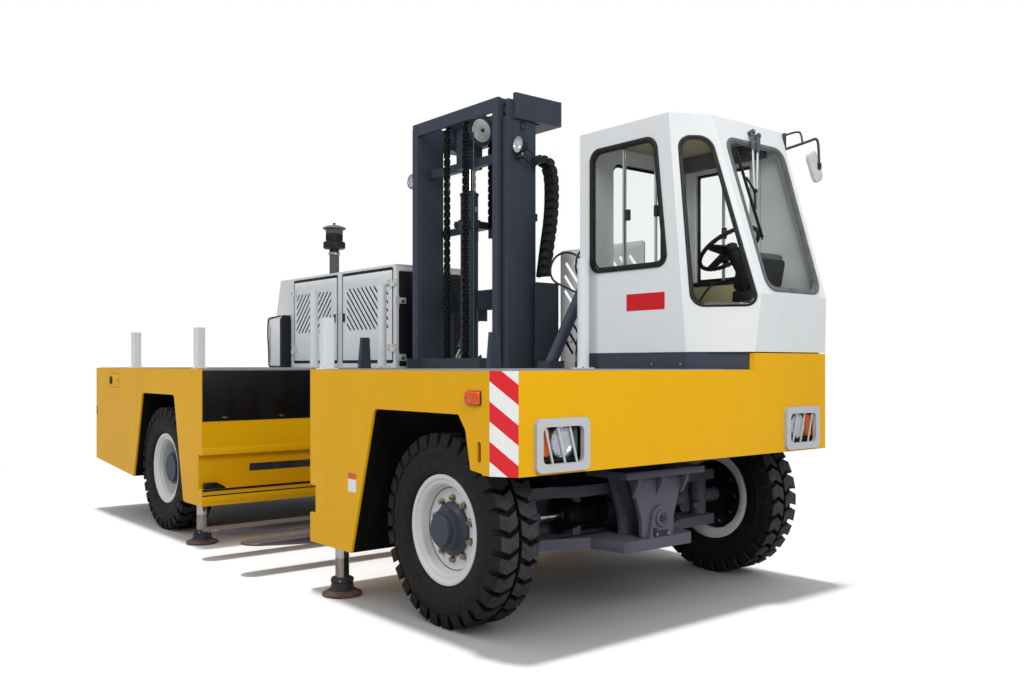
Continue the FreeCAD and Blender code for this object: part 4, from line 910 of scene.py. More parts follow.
# %% Fittings on the side panel
fittings = Piece("side_fittings")
side = face_of("near", 0, -1.35, 0)
fittings.tiles(side, ((2.967, 1.25, 0.118, 0.072, 0.008), 0, 0.005, BLACK_ABS, 0.001),
    ((2.967, 1.25, 0.112, 0.066, 0.01), 0.005, 0.016, AMBER, 0.005), ((2.967, 1.25, 0.042, 0.058, 0.006),
    0.021, 0.004, AMBER, 0.002))
for u in (2.922, 3.012):
    fittings.bar((u, 1.25, 0.021), (u, 1.25, 0.0235), 0.0055, ZINC, 12, side)
fittings.tiles(side, ((1.7735, 0.698, 0.093, 0.076, 0.003), 0, 0.0008, WHITE_LABEL),
    ((1.7735, 0.755, 0.093, 0.036, 0.003), 0, 0.0008, ORANGE_LABEL), ((-3.032, 1.258, 0.131, 0.078, 0.01),
    0, 0.0008, YELLOW_LABEL))
fittings.ring(oblong(-2.63, 1.269, 0.206, 0.134, 0.004), side, 0.003, 0.0006, BLACK_ABS)
fittings.tiles(side, ((-2.63, 1.269, 0.196, 0.124, 0.004), 0, 0.0015, YELLOW, 0.0006),
    ((-2.755, 1.27, 0.058, 0.07, 0.012), 0, 0.01, BLACK_ABS, 0.003))
fittings.bar((-2.56, 1.274, 0.001), (-2.56, 1.274, 0.006), 0.009, ZINC, 16, side)
fittings.plate(oblong(-3.204, 0.968, 0.026, 0.083, 0.01), side, 0.0008, BLACK_ABS)
fittings.ring(oblong(3.01, 0.9825, 0.04, 0.115, 0.0195), side, 0.006, 0.002, YELLOW, 0.001)
fittings.done(slot="yellow_paint")

# %% [markdown]
# ## Deck plates
# The decks carry loads of pipe and timber, so their tops are ribbed plate, worn grey.
# Seen level with the deck they are only a thin pale line. Each is a shallow slab, and
# fine raised ribs run across it to catch the light from above.

# %% Deck
deck = Piece("deck_plates")
DECK_Z = 1.385
DECK_STEEL = enamel("deck_plate_worn", "8C9097", 0.48, 0.5, "6F665A", peel=0.15)
rear_top = [(-3.22, -1.345), (-0.53, -1.345), (-0.53, 1.345), (-3.22, 1.345)]
front_top = [(1.257, -1.345), (3.09, -1.345), (3.183, -1.293), (3.183, 1.345), (1.257, 1.345)]
beam_top = [(-0.527, 1.016), (1.254, 1.016), (1.254, 1.345), (-0.527, 1.345)]
for outline in (rear_top, front_top, beam_top):
    deck.plate(outline, face_of("top", 0, 0, DECK_Z), 0.002, DECK_STEEL)
for start, end in ((-3.2, -0.56), (1.29, 3.08)):
    count = int((end - start) / 0.11)
    for k in range(count + 1):
        x = start + (end - start) * k / count
        deck.block((x - 0.006, -1.32, DECK_Z + 0.0015), (x + 0.006, 0.46, DECK_Z + 0.005), DECK_STEEL, 0)
deck.done(slot="grey_paint")

# %% [markdown]
# ## Load stakes
# Stakes along the deck's edge stop a load from rolling off. They are short square
# tubes, open at the top, on small bolted flanges. The tube is a rounded outline with a
# smaller rounded hole, given its height.

# %% Stakes
FOOT_BOLTS = oblong(0, 0, 0.086, 0.086)
stakes = Piece("load_stake_tubes")
for x in (-2.255, -0.7465, 1.346):
    spot = face_of("top", x, -1.282, DECK_Z)
    stakes.plate(oblong(0, 0, 0.104, 0.104, 0.008), spot, 0.01, PALE, 0.002)
    stakes.plate(oblong(0, 0, 0.072, 0.072, 0.01), spot @ shift(z=0.01), 0.319, PALE,
        holes=[oblong(0, 0, 0.06, 0.06, 0.006)])
    for u, v in FOOT_BOLTS:
        stakes.bolt(spot @ shift(u, v, 0.01), ZINC, 0.01, 0.005)
stakes.done(["load_stakes"], "grey_paint")

# %% Bolts on the foot plates of the tall guard posts
post_bolts = Piece("post_bolts")
for x, y in ((-1.65, 0.215), (-0.5955, 0.33), (2.052, 0.28)):
    for u, v in FOOT_BOLTS:
        post_bolts.bolt(face_of("top", x + u, y + v, DECK_Z + 0.012), ZINC, 0.014, 0.007)
post_bolts.done(slot="grey_paint")

# %% [markdown]
# ## Walls of the mast well
# The mast's rollers run in a deep groove in each wall of the well. Above the groove is
# a folded lip, and above that a black steel cover with two wing latches. Below, a dark
# wear strip edges the flange, and a stop block ends the travel. All of it lies on a
# flat wall, so each part is a plate drawn on that wall.

# %% Covers, lips and stops
NEAR_END, FAR_END = -1.346, 1
STRIPS = [(NEAR_END, 0.06, 0.972, 1.37, 0, 0.006, BLACK_PAINT, 0.002),
    (NEAR_END, FAR_END, 1.372, 1.384, 0, 0.004, DECK_STEEL, 0.001), (NEAR_END, FAR_END, 0.709, 0.766, 0,
    0.009, YELLOW, 0.003), (-0.926, 0.52, 0.556, 0.616, -0.07, 0.002, DARK_STEEL, 0),
    (NEAR_END, FAR_END, 0.424, 0.4415, 0, 0.005, SEAL, 0.001), (NEAR_END, FAR_END, 0.386, 0.396, 0, 0.001,
    BLACK_ABS, 0), (NEAR_END, FAR_END, 0.338, 0.384, 0, 0.004, YELLOW, 0.001)]
for name, side, x, sign in (("well_wall_rear", "front", -0.526, 1), ("well_wall_front", "rear", 1.252, -1)):
    wall = Piece(name)
    flat = face_of(side, x, 0, 0)
    for y1, y2, z1, z2, lift, *rest in STRIPS:
        wall.plate(oblong(sign * (y1 + y2) / 2, (z1 + z2) / 2, y2 - y1, z2 - z1), flat @ shift(z=lift),
            *rest)
    for y in (-1.165, -0.682):
        latch = flat @ shift(sign * y, 1.001, 0.006)
        wall.bar((0, 0, 0), (0, 0, 0.008), 0.01, BRASS, 16, latch)
        wall.block((-0.024, -0.005, 0.004), (0.024, 0.005, 0.01), BRASS, 0.002, latch)
        wall.bar((0, 0, 0.01), (0, 0, 0.015), 0.006, ZINC, 12, latch)
    stop_x = sorted((x - sign * 0.034, x - sign * 0.001))
    wall.block((stop_x[0], -1.329, 0.4425), (stop_x[1], -1.225, 0.49), SEAL, 0.003)
    wedge = [(-1.225, 0), (-1.155, 0), (-1.16, 0.012), (-1.225, 0.047)]
    wall.plate(wedge, lay((stop_x[0], 0, 0.4425), (0, 1, 0), UP), 0.033, SEAL)
    wall.bolt(face_of("top", (stop_x[0] + stop_x[1]) / 2, -1.285, 0.49), ZINC, 0.019, 0.009)
    wall.done(slot="yellow_paint")

# %% [markdown]
# ## Lifting chains
# Two leaf chains lift the forks. A leaf chain is only plates and pins: rows of four and
# three plates take turns along it, and each pin holds two rows. One plate is an outline
# with round ends, laid again and again. The front runs shorten as the forks rise; here
# they ride on the inner mast, and the back runs stay where they are drawn, between the
# fixed mast and the moving one.

# %% Leaf chain
MAST_X = 0.302
CHAIN_X = (MAST_X + 0.13, MAST_X - 0.13)
CYLINDER_Y = 0.632
SHEAVE = (CYLINDER_Y, 3.36)
PIN_STEP = 0.0315
LINK = (arc(0.0145, range(-15, 196, 42), 0, PIN_STEP / 2) + arc(0.0145, range(165, 376, 42), 0,
    -PIN_STEP / 2))


def chain_link(piece, place, wide):
    """One row of plates from pin to pin, its pins across, drawn along the place's Z."""
    for u in (-0.0265, -0.0165, 0.0165, 0.0265) if wide else (-0.0105, 0, 0.0105):
        flat = place @ shift(u - 0.0024, 0, PIN_STEP / 2) @ lay((0, 0, 0), (0, 1, 0), UP)
        piece.plate(LINK, flat, 0.0055, CHAIN_STEEL)
    piece.bar((-0.03, 0, 0), (0.03, 0, 0), 0.0055, STEEL, 8, place)


def chain_run(piece, x, y, low, high):
    """Links from one height to another."""
    for k in range(int((high - low) / PIN_STEP)):
        chain_link(piece, shift(x, y, low + k * PIN_STEP), k % 2 == 0)


front_chains = Piece("chains_front", "inner_mast")
for x in CHAIN_X:
    chain_run(front_chains, x, 0.494, 1.47, 3.36)
front_chains.bar((0.508, 0.52, 1.47), (0.508, 0.52, 3.33), 0.0055, GREEN_HOSE, 12)
front_chains = front_chains.done(["chain_front_runs"], "dark_paint")
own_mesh(front_chains)

back_chains = Piece("chains_back", None)
for x in CHAIN_X:
    chain_run(back_chains, x, 0.765, 2.565, 3.36)
back_chains = back_chains.done(["chain_back_runs"], "dark_paint")
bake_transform(back_chains)

# %% The chain over the sheaves, and the rod
gear = Piece("sheave_gear", "inner_mast")
for x in CHAIN_X:
    steps = 13
    for k in range(steps):
        around = shift(x, *SHEAVE) @ turn_about(-180 * k / steps, "X") @ shift(y=-0.133)
        chain_link(gear, around, k % 2 == 0)
    for side in (-1, 1):
        rim = [(0, 0), (0, 0.126), (0.004, 0.129), (0.007, 0.126), (0.007, 0)]
        gear.turned(rim, (x + side * 0.0235, *SHEAVE), (side, 0, 0), SLATE, 40)
for side in (-1, 1):
    hub_x = MAST_X + side * 0.1605
    gear.turned([(0, 0), (0, 0.092), (0.005, 0.095), (0.008, 0.091), (0.008, 0.07), (0.006, 0.068),
        (0.0155, 0.066), (0.017, 0.063), (0.017, 0)], (hub_x, *SHEAVE), (side, 0, 0), RIM_GREY, 40)
    face = "front" if side > 0 else "rear"
    gear.bolt(face_of(face, hub_x + side * 0.017, *SHEAVE), BRASS, 0.034, 0.012)
gear.bar((MAST_X, CYLINDER_Y, 0.8), (MAST_X, CYLINDER_Y, 3.061), 0.0506, CHROME, 40)
gear.done(slot="chrome")

# %% [markdown]
# ## Mast fittings
# The lift cylinder ends in a gland ring with a black wiper that keeps grit off the
# rod. Rollers between the two masts show at the top, and behind a slot in the outer
# web. The work lamps are pressed bowls: a black shell, a chromed rim and a bright
# reflector with a bulb, on a strap, with a short cable.

# %% Gland, rollers and clamp bolts
fixed = Piece("mast_fittings", "outer_mast")
gland = [(0, 0.0515), (0, 0.079), (0.01, 0.081), (0.022, 0.079), (0.026, 0.068), (0.026, 0.06),
    (0.034, 0.058), (0.034, 0.0515)]
fixed.turned(gland + gland[:1], (MAST_X, CYLINDER_Y, 2.836), UP, SLATE, 40)
fixed.turned([(0, 0.0515), (0, 0.057), (0.006, 0.055), (0.006, 0.0515), (0, 0.0515)],
    (MAST_X, CYLINDER_Y, 2.87), UP, SEAL, 32)
fixed.bar((MAST_X + 0.07, CYLINDER_Y, 2.7), (MAST_X + 0.103, CYLINDER_Y, 2.7), 0.013, STEEL, 12)
fixed.bar((MAST_X + 0.095, CYLINDER_Y, 2.69), (MAST_X + 0.095, CYLINDER_Y, 2.735), 0.01, STEEL, 6)
for u, z in ((-0.072, 2.595), (0.072, 2.595)):
    fixed.block((MAST_X + u - 0.014, 0.535, z - 0.028), (MAST_X + u + 0.014, 0.6, z + 0.028), SLATE, 0.003)
    fixed.bolt(face_of("near", MAST_X + u, 0.535, z), ZINC)
for side in (-1, 1):
    roller = [(0, 0), (0, 0.05), (0.004, 0.056), (0.044, 0.056), (0.048, 0.05), (0.048, 0)]
    fixed.turned(roller, (MAST_X + side * 0.592, 0.578, 3.415), (side, 0, 0), SLATE, 32)
    fixed.turned(roller, (MAST_X + side * 0.592, 0.578, 0.3), (side, 0, 0), SLATE, 32)
    looks, outer_x = "front" if side > 0 else "rear", MAST_X + side * 0.67
    web = face_of(looks, outer_x, 0.65, 3.305)
    # the black plate is painted shade: the dark inside of the slot round the roller
    fixed.plate(oblong(0, 0, 0.05, 0.08, 0.018), web, 0.0015, BLACK_ABS)
    fixed.ring(oblong(0, 0, 0.058, 0.088, 0.022), web, 0.005, 0.003, SLATE, 0.001)
    fixed.bar((0, -0.002, 0), (0, -0.002, 0.006), 0.019, SLATE, 20, web)
    for y in (0.56, 0.735):
        for z in (0.6, 1):
            fixed.bolt(face_of(looks, outer_x, y, z), ZINC)
fixed.done(slot="dark_paint")

# %% Gussets over the fork carriage
gussets = Piece("carriage_gussets", "fork_carriage")
for x in (-0.115, 0.16, 0.52):
    gussets.plate([(0.518, 1.38), (0.588, 1.38), (0.588, 1.49), (0.58, 1.5), (0.518, 1.45)],
        lay((x, 0, 0), (0, 1, 0), UP), 0.01, SLATE, 0.001)
gussets.done(slot="dark_paint")

# %% Work lamps
bowls = Piece("work_lamps", "outer_mast")
for side, z in ((1, 3.13), (-1, 3.06)):
    x = MAST_X + side * 0.742
    lens_plane = (x, 0.541, z)
    shell = [(0, 0.058), (0, 0.066), (0.018, 0.066), (0.024, 0.061), (0.05, 0.057), (0.078, 0.044),
        (0.088, 0.026), (0.089, 0)]
    bowls.turned(shell, lens_plane, (0, 1, 0), BLACK_ABS, 40)
    bowls.turned([(0, 0.056), (-0.0005, 0.06), (0.001, 0.064), (0.006, 0.064), (0.006, 0.056), (0, 0.056)],
        lens_plane, (0, 1, 0), REFLECTOR, 40)
    bowls.turned([(0.008, 0.057), (0.02, 0.05), (0.034, 0.035), (0.042, 0.015), (0.044, 0)], lens_plane,
        (0, 1, 0), REFLECTOR, 40)
    bowls.bar((x, 0.556, z), (x, 0.585, z), 0.009, CLEAR_LENS, 12)
    bowls.turned([(0.003, 0.057), (0.0055, 0)], lens_plane, (0, 1, 0), CLEAR_LENS, 32)
    low, high = sorted((x - side * 0.072, x + side * 0.016))
    bowls.block((low, 0.568, z - 0.09), (high, 0.612, z - 0.084), SLATE, 0.001)
    bowls.bar((x, 0.59, z - 0.084), (x, 0.59, z - 0.055), 0.008, ZINC, 12)
    bowls.bolt(face_of("top", x, 0.59, z - 0.084), BRASS, 0.022, 0.01)
    if side > 0:
        bowls.tube([(x, 0.628, z - 0.02), (x + 0.01, 0.665, z - 0.03), (x + 0.012, 0.695, z - 0.075),
            (x + 0.004, 0.72, z - 0.11), (x, 0.745, z - 0.1)], 0.006, HOSE)
        bowls.tube([(x - 0.01, 0.6, z - 0.088), (x - 0.01, 0.65, z - 0.125), (x - 0.004, 0.7, z - 0.13),
            (x, 0.75, z - 0.12)], 0.005, HOSE)
bowls.done(["work_lights"], "lamp")

# %% [markdown]
# ## Energy chain
# Oil hoses to the mast run inside a plastic chain of links, which bends one way only
# and so hangs in a bow. Each link has two scalloped side plates and a bar across the
# back and front. The bow is a spline made into a line of points, and links are set
# along it at their real spacing.

# %% Points along a smooth line
def smooth_line(points):
    """The points of a smooth spline drawn near the given ones."""
    draft = draft_of(curve_along(points, detail=12))
    made = [v.co.copy() for v in draft.verts]
    draft.free()
    return made


def spaced(line, step):
    """Places every step along a line, as (point, direction)."""
    made, left = [], 0
    for start, end in zip(line, line[1:]):
        run, reach = end - start, (end - start).length
        while left <= reach and reach > 0:
            made.append((start + run * (left / reach), run.normalized()))
            left += step
        left -= reach
    return made


ENERGY_X = 1.044
ENERGY_LINE = [(ENERGY_X, y, z) for y, z in ((0.75, 3.036), (0.815, 3.042), (0.872, 2.985), (0.898, 2.86),
    (0.89, 2.6), (0.842, 2.35), (0.806, 2.116))]
LINK_STEP = 0.068
energy = Piece("energy_chain", "outer_mast")
places = spaced(smooth_line(ENERGY_LINE), LINK_STEP)
for spot, along in places:
    frame_turn = lay(spot, (1, 0, 0), along)
    for u in (-0.052, 0.058):
        flat = frame_turn @ shift(u) @ lay((0, 0, 0), UP, (0, 1, 0))
        plate = [(-0.026, -0.01), (0.018, -0.012), (0.031, 0.006), (0.031, 0.034), (0.024, 0.058),
            (0.006, 0.066), (-0.026, 0.064)]
        energy.plate(rounded(plate, 0.008, 2), flat, 0.006, BLACK_ABS, 0.0012)
        energy.bar((0.002, 0.004, 0.006), (0.002, 0.004, 0.0075), 0.01, BLACK_ABS, 12, flat)
    for v in (-0.026, 0.02):
        energy.block((-0.055, 0.014, v), (0.055, 0.046, v + 0.007), BLACK_ABS, 0.002, frame_turn)
for u in (-0.034, -0.012, 0.01, 0.034):
    energy.tube([(x + u, y, z) for x, y, z in ENERGY_LINE], 0.009, HOSE, sides=2)
energy.plate(oblong(0, 0, 0.1, 0.07, 0.006), lay((ENERGY_X, 0.745, 3.036), (1, 0, 0), UP), 0.006, SLATE)
energy.block((0.972, 0.742, 3), (1, 0.78, 3.058), SLATE, 0.003)
energy.done(["cable_chain"])
print(len(places), "links in the energy chain")

# %% [markdown]
# ## Window seals
# Each pane is held in the cab's steel by a rubber section: a soft-edged bead outside
# and a lip inside. On a flat wall both are frames, inset from an outline that is grown
# past the opening. The corner panel is twisted between its top and foot, so there the
# bead and its filler strip are tubes whose points are laid on the twisted surface.

# %% Growing an outline
def grown(points, distance):
    """A convex outline, drawn anticlockwise, moved outwards by a distance."""
    made = []
    for before, at, after in zip(points[-1:] + points[:-1], points, points[1:] + points[:1]):
        one = (Vector(at) - Vector(before)).normalized()
        two = (Vector(after) - Vector(at)).normalized()
        out_one, out_two = Vector((one.y, -one.x)), Vector((two.y, -two.x))
        middle = (out_one + out_two).normalized()
        made.append(tuple(Vector(at) + middle * distance / middle.dot(out_one)))
    return made


def walked(outline, step):
    """Points along a closed outline, about a step apart."""
    made = []
    for (u1, v1), (u2, v2) in zip(outline, outline[1:] + outline[:1]):
        count = max(1, int(math.hypot(u2 - u1, v2 - v1) / step))
        made += [(u1 + (u2 - u1) * k / count, v1 + (v2 - v1) * k / count) for k in range(count)]
    return made


def seal(piece, points, radius, place, finish, out=0.013, wide=0.024, high=0.01):
    """A rubber bead round an opening, and its inner lip."""
    outline = rounded(grown(points, out), radius + out, 8)
    piece.ring(outline, place @ shift(z=-0.002), wide, high, finish, 0.004)
    lip = rounded(grown(points, out - wide + 0.001), radius, 8)
    piece.ring(lip, place @ shift(z=-0.014), 0.009, 0.016, finish, 0.002)
    return piece


NEAR_WALL = face_of("near", 0, 0.35, 0)
cab_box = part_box("cab_shell")
GLAND = 0.02
CAB_REAR = cab_box[0][0] + GLAND
SIDE_OPENING = [(CAB_REAR + 0.118, 2.05), (CAB_REAR + 0.783, 2.05), (CAB_REAR + 0.691, 2.865),
    (CAB_REAR + 0.118, 2.865)]
print("cab's rear wall at x", round(CAB_REAR, 3))

# %% Side window, sliding divider and its latches
SCREEN_SEAL = dull("seal_rubber_grey", "6A6E70", "54585B", 0.45, 60, 4, 0.1)
FRAME_ALLOY = metal("anodised_frame", "B9C4C0", "A3AEAA", 0.35, 0.6, 60, (1, 1, 0.1))
glazing = Piece("side_glazing")
seal(glazing, SIDE_OPENING, 0.07, NEAR_WALL, SEAL, 0.015, 0.03, 0.013)
slider = NEAR_WALL @ shift(2.347, 2.4575, -0.03)
glazing.tiles(slider, ((0, 0, 0.026, 0.812), 0, 0.012, FRAME_ALLOY, 0.002),
    ((0.009, 0, 0.004, 0.812), 0.012, 0.003, SEAL), ((0.275, 0, 0.018, 0.8), 0, 0.01, FRAME_ALLOY, 0.002))
for u, v in ((0.036, -0.055), (0.285, -0.058)):
    glazing.plate(oblong(u, v, 0.03, 0.072, 0.006), slider, 0.022, BLACK_ABS, 0.004)
glazing.plate(oblong(-0.268, -0.075, 0.012, 0.03, 0.004), slider, 0.02, SILVER_ABS, 0.002)
glazing.done()

# %% Windscreen
SCREEN_UP = Vector((-0.347, 0, 1.153)).normalized()
SCREEN = lay((3.232, 0, 1.85), (0, 1, 0), SCREEN_UP)
STRETCH = 1 / SCREEN_UP.z


def on_screen(y, z):
    """A drawing point on the leaning windscreen wall from a width and a height."""
    return (y, (z - 1.85) * STRETCH)


SCREEN_OPENING = [on_screen(0.73, 1.882), on_screen(1.29, 1.882), on_screen(1.29, 2.86),
    on_screen(0.69, 2.86)]
seal(Piece("screen_seal"), SCREEN_OPENING, 0.08, SCREEN, SCREEN_SEAL, 0.014, 0.026, 0.01).done()

# %% Corner window, on the twisted panel
def corner_point(u, z, out=0):
    """Where the corner window's drawing meets the twisted panel, moved outwards a little."""
    share = (z - 1.85) / 1.153
    if share < 0:
        low = (1.85 - z) / 0.355
        edge = Vector((2.859 + 0.033 * low, 0.35))
        nose = Vector((3.232 - 0.007 * low, 0.65 - 0.056 * low))
    else:
        edge = Vector((2.859 - 0.108 * share, 0.35))
        nose = Vector((3.232 - 0.347 * share, 0.65 - 0.037 * share))
    turn = math.radians(42)
    start = Vector((2.75, 0.808)) + u * Vector((math.sin(turn), math.cos(turn)))
    ray = Vector((math.cos(turn), -math.sin(turn)))
    run = nose - edge
    gap = edge - start
    reach = (gap.x * run.y - gap.y * run.x) / (ray.x * run.y - ray.y * run.x)
    spot = start + ray * (reach + out)
    return (spot.x, spot.y, z)


CORNER_OPENING = [(-0.205, 1.784), (0.185, 1.784), (-0.075, 2.85), (-0.275, 2.85)]
corner_seal = Piece("corner_seal")
for growth, radius, out in ((0.002, 0.0105, -0.001), (-0.009, 0.007, -0.006)):
    outline = rounded(grown(CORNER_OPENING, growth), 0.075, 8)
    line = [corner_point(u, z, out) for u, z in walked(outline, 0.05)]
    corner_seal.tube(line, radius, SEAL, closed=True, smooth=False)
corner_seal.done()

# %% Rear window, door window and door handle
seal(Piece("rear_seal"), [(-1.2, 2), (-0.64, 2), (-0.64, 2.85), (-1.2, 2.85)], 0.07,
    face_of("rear", CAB_REAR, 0, 0), SEAL, 0.013, 0.026, 0.01).done()

trim = Piece("door_trim", "cab_door")
DOOR_FACE = face_of("far", 0, 1.35, 0)
seal(trim, [(-2.657, 2.02), (-2.167, 2.02), (-2.167, 2.813), (-2.657, 2.813)], 0.02, DOOR_FACE, SEAL, 0.01,
    0.024, 0.008)
trim.plate(oblong(-2.702, 1.93, 0.056, 0.15, 0.012), DOOR_FACE, 0.006, BLACK_ABS, 0.002)
trim.block((-2.716, 1.885, 0.006), (-2.696, 1.975, 0.034), BLACK_ABS, 0.006, DOOR_FACE)
trim.bar((-2.686, 1.89, 0.006), (-2.686, 1.89, 0.01), 0.01, ZINC, 16, DOOR_FACE)
inner = face_of("near", 0, 1.312, 0)
trim.tiles(inner, ((2.412, 1.79, 0.56, 0.39, 0.04), 0, 0.01, LINING, 0.003),
    ((2.412, 2.005, 0.6, 0.03, 0.004), 0, 0.012, BLACK_ABS, 0.002), ((2.412, 2.4165, 0.022, 0.793), -0.026,
    0.012, FRAME_ALLOY, 0.002))
for u, v in ((2.43, 2.36), (2.628, 2.36)):
    trim.plate(oblong(u, v, 0.034, 0.08, 0.006), inner @ shift(z=-0.014), 0.02, BLACK_ABS, 0.003)
trim.done()

# %% [markdown]
# ## Wipers and mirror
# Two grey arms hang from pivots over the windscreen and join where the long black blade
# is hinged. All of it lies on the leaning screen wall, so it is drawn on that plane. The
# mirror hangs off the cab's top corner on two bent tubes from a bolted plate, and its
# head is a rounded shell round the glass.

# %% Wipers
wipers = Piece("wipers")


def screen_bar(start, end, wide, low, high, finish, edge=0.002):
    """A flat bar on the screen wall between two drawing points."""
    start, end = Vector(start), Vector(end)
    along = (end - start).normalized()
    turn = math.degrees(math.atan2(along.y, along.x))
    place = SCREEN @ shift(start.x, start.y, low) @ turn_about(turn)
    wipers.block((0, -wide / 2, 0), ((end - start).length, wide / 2, high - low), finish, edge, place)


HINGE = (0.82, 0.689)
for pivot, low_end in (((0.963, 1.128), (0.812, 0.7)), ((1.017, 1.108), (0.842, 0.704))):
    wipers.bar((*pivot, 0), (*pivot, 0.04), 0.018, GREY_ABS, 20, SCREEN)
    wipers.bar((*pivot, 0.04), (*pivot, 0.046), 0.012, ZINC, 6, SCREEN)
    head = Vector(pivot) + (Vector(low_end) - Vector(pivot)) * 0.32
    screen_bar(pivot, tuple(head), 0.03, 0.022, 0.038, GREY_ABS, 0.004)
    screen_bar(tuple(head), low_end, 0.014, 0.024, 0.032, SILVER_ABS)
wipers.bar((*HINGE, 0.02), (*HINGE, 0.04), 0.013, BLACK_ABS, 16, SCREEN)
screen_bar((0.741, 0.973), (0.784, 0.356), 0.012, 0.01, 0.016, SEAL)
screen_bar((0.743, 0.96), (0.7835, 0.37), 0.008, 0.016, 0.028, BLACK_ABS)
screen_bar((0.765, 0.78), (0.82, 0.689), 0.012, 0.02, 0.032, BLACK_ABS)
screen_bar((0.82, 0.689), (0.775, 0.56), 0.012, 0.02, 0.032, BLACK_ABS)
wipers.done()

# %% Mirror
mirror = Piece("mirror_assembly")
mirror.block((2.893, 1.348, 2.874), (2.917, 1.366, 2.996), SLATE, 0.002)
for z in (2.888, 2.982):
    mirror.bolt(face_of("far", 2.905, 1.366, z), ZINC, 0.014, 0.006)
mirror.tube([(2.905, 1.358, 2.885), (2.965, 1.395, 2.903), (3.06, 1.447, 2.934), (3.082, 1.462, 2.944),
    (3.094, 1.47, 2.925), (3.098, 1.473, 2.86), (3.1, 1.475, 2.745)], 0.009, SLATE)
mirror.tube([(2.905, 1.358, 2.98), (2.955, 1.386, 2.996), (2.985, 1.403, 2.998), (3.003, 1.413, 2.985),
    (3.008, 1.418, 2.92)], 0.007, SLATE)
head = (lay((3.104, 1.448, 2.752), (0, 1, 0), UP) @ turn_about(28))
mirror.plate(oblong(0, 0, 0.104, 0.215, 0.04, 6), head @ shift(z=-0.03), 0.022, SILVER_ABS, 0.01)
for wide, tall, corner, lift, thick, finish, edge in ((0.098, 0.209, 0.038, -0.03, 0.01, SILVER_ABS, 0.006),
        (0.084, 0.194, 0.034, -0.041, 0.0015, MIRROR_GLASS, 0)):
    mirror.plate(oblong(0, 0, wide, tall, corner, 6), head @ shift(z=lift) @ turn_about(180, "Y"), thick,
        finish, edge)
mirror.bar((3.1, 1.475, 2.775), (3.1, 1.475, 2.735), 0.016, BLACK_ABS, 16)
mirror.done(["mirror"])

# %% [markdown]
# ## Inside the cab
# Big panes show the inside, so it is dressed: an olive lining under the roof, a ribbed
# grey duct over the door, a moulded dash with a raked top and a key, levers in their
# boots, and the steering wheel with a broad spoke and a knob. The dash is a block whose
# corners are bevelled wide, as a moulding's are.

# %% Lining and duct
lining = Piece("cab_lining")
lining.plate([(CAB_REAR + 0.05, 0.4), (2.7, 0.4), (2.84, 0.64), (2.84, 1.3), (CAB_REAR + 0.05, 1.3)],
    face_of("top", 0, 0, 2.95), 0.008, LINING, 0.002)
lining.block((CAB_REAR + 0.06, 1.275, 2.835), (2.8, 1.306, 2.95), GREY_ABS, 0.006)
for k in range(6):
    z = 2.848 + 0.016 * k
    lining.block((CAB_REAR + 0.07, 1.268, z), (2.79, 1.277, z + 0.007), GREY_ABS, 0.002)
lining.block((CAB_REAR + 0.045, 0.4, 1.56), (CAB_REAR + 0.055, 1.3, 1.985), LINING, 0.003)
lining.block((2.09, 0.392, 1.56), (2.8, 0.402, 2.01), LINING, 0.003)
lining.plate([(1.997, 0.4), (2.83, 0.4), (3.06, 0.62), (3.06, 1.3), (1.997, 1.3)],
    face_of("top", 0, 0, 1.536), 0.01, SEAL, 0.002)
lining.block((2.02, 1.11, 2.79), (2.075, 1.19, 2.83), BLACK_ABS, 0.008)
lining.bar((2.075, 1.14, 2.8), (2.15, 1.11, 2.745), 0.012, BLACK_ABS, 12)
lining.turned([(0, 0), (0, 0.03), (0.035, 0.062), (0.05, 0.064), (0.05, 0.058), (0.012, 0)],
    (2.135, 1.115, 2.755), (0.55, -0.45, -0.7), CLEAR_LENS, 24)
lining.done()

# %% Dash, key and side console
dash = Piece("dash_and_console")
dash.block((2.905, 0.77, 1.545), (3.085, 1.12, 1.9), BLACK_ABS, 0.03)
pod = lay((2.985, 0.945, 1.88), (0, 1, 0), (0.2, 0, 0.98))
dash.block((-0.185, 0, -0.075), (0.185, 0.24, 0.06), BLACK_ABS, 0.035, pod)
dash.block((-0.15, 0.2, -0.05), (0.15, 0.262, 0.05), GREY_ABS, 0.02, pod)
facia = pod @ turn_about(180, "Y")
dash.plate(oblong(0.06, 0.085, 0.085, 0.055, 0.006), facia @ shift(z=0.075), 0.003, GREY_ABS)
for u in (-0.1, -0.055):
    dash.turned([(0, 0), (0, 0.018), (0.004, 0.018), (0.004, 0.014), (0.002, 0)],
        facia @ Vector((u, 0.14, 0.074)), facia.col[2].to_3d(), SILVER_ABS, 24)
dash.bar((0, 0.05, 0.074), (0, 0.05, 0.086), 0.014, STEEL, 16, facia)
dash.block((-0.003, 0.04, 0.086), (0.003, 0.06, 0.11), STEEL, 0.001, facia)
dash.tube([facia @ Vector(p) for p in ((0, 0.045, 0.1), (0.004, 0.02, 0.112), (0.008, -0.02, 0.108),
    (0.01, -0.045, 0.1))], 0.004, STEEL)
dash.block((2.29, 0.47, 1.545), (2.73, 0.63, 1.9), GREY_ABS, 0.018)
dash.block((2.3, 0.478, 1.9), (2.72, 0.622, 1.912), BLACK_ABS, 0.005)
for x in (2.4, 2.5, 2.6):
    dash.turned([(0, 0), (0, 0.03), (0.012, 0.026), (0.018, 0.029), (0.03, 0.018), (0.036, 0.02),
        (0.05, 0.009), (0.05, 0)], (x, 0.55, 1.908), UP, SEAL, 24)
    dash.bar((x, 0.55, 1.95), (x + 0.012, 0.555, 1.968), 0.006, ZINC, 12)
    dash.turned([(0, 0), (0, 0.01), (0.008, 0.016), (0.02, 0.016), (0.027, 0.008), (0.028, 0)],
        (x + 0.012, 0.555, 1.96), UP, BLACK_ABS, 20)
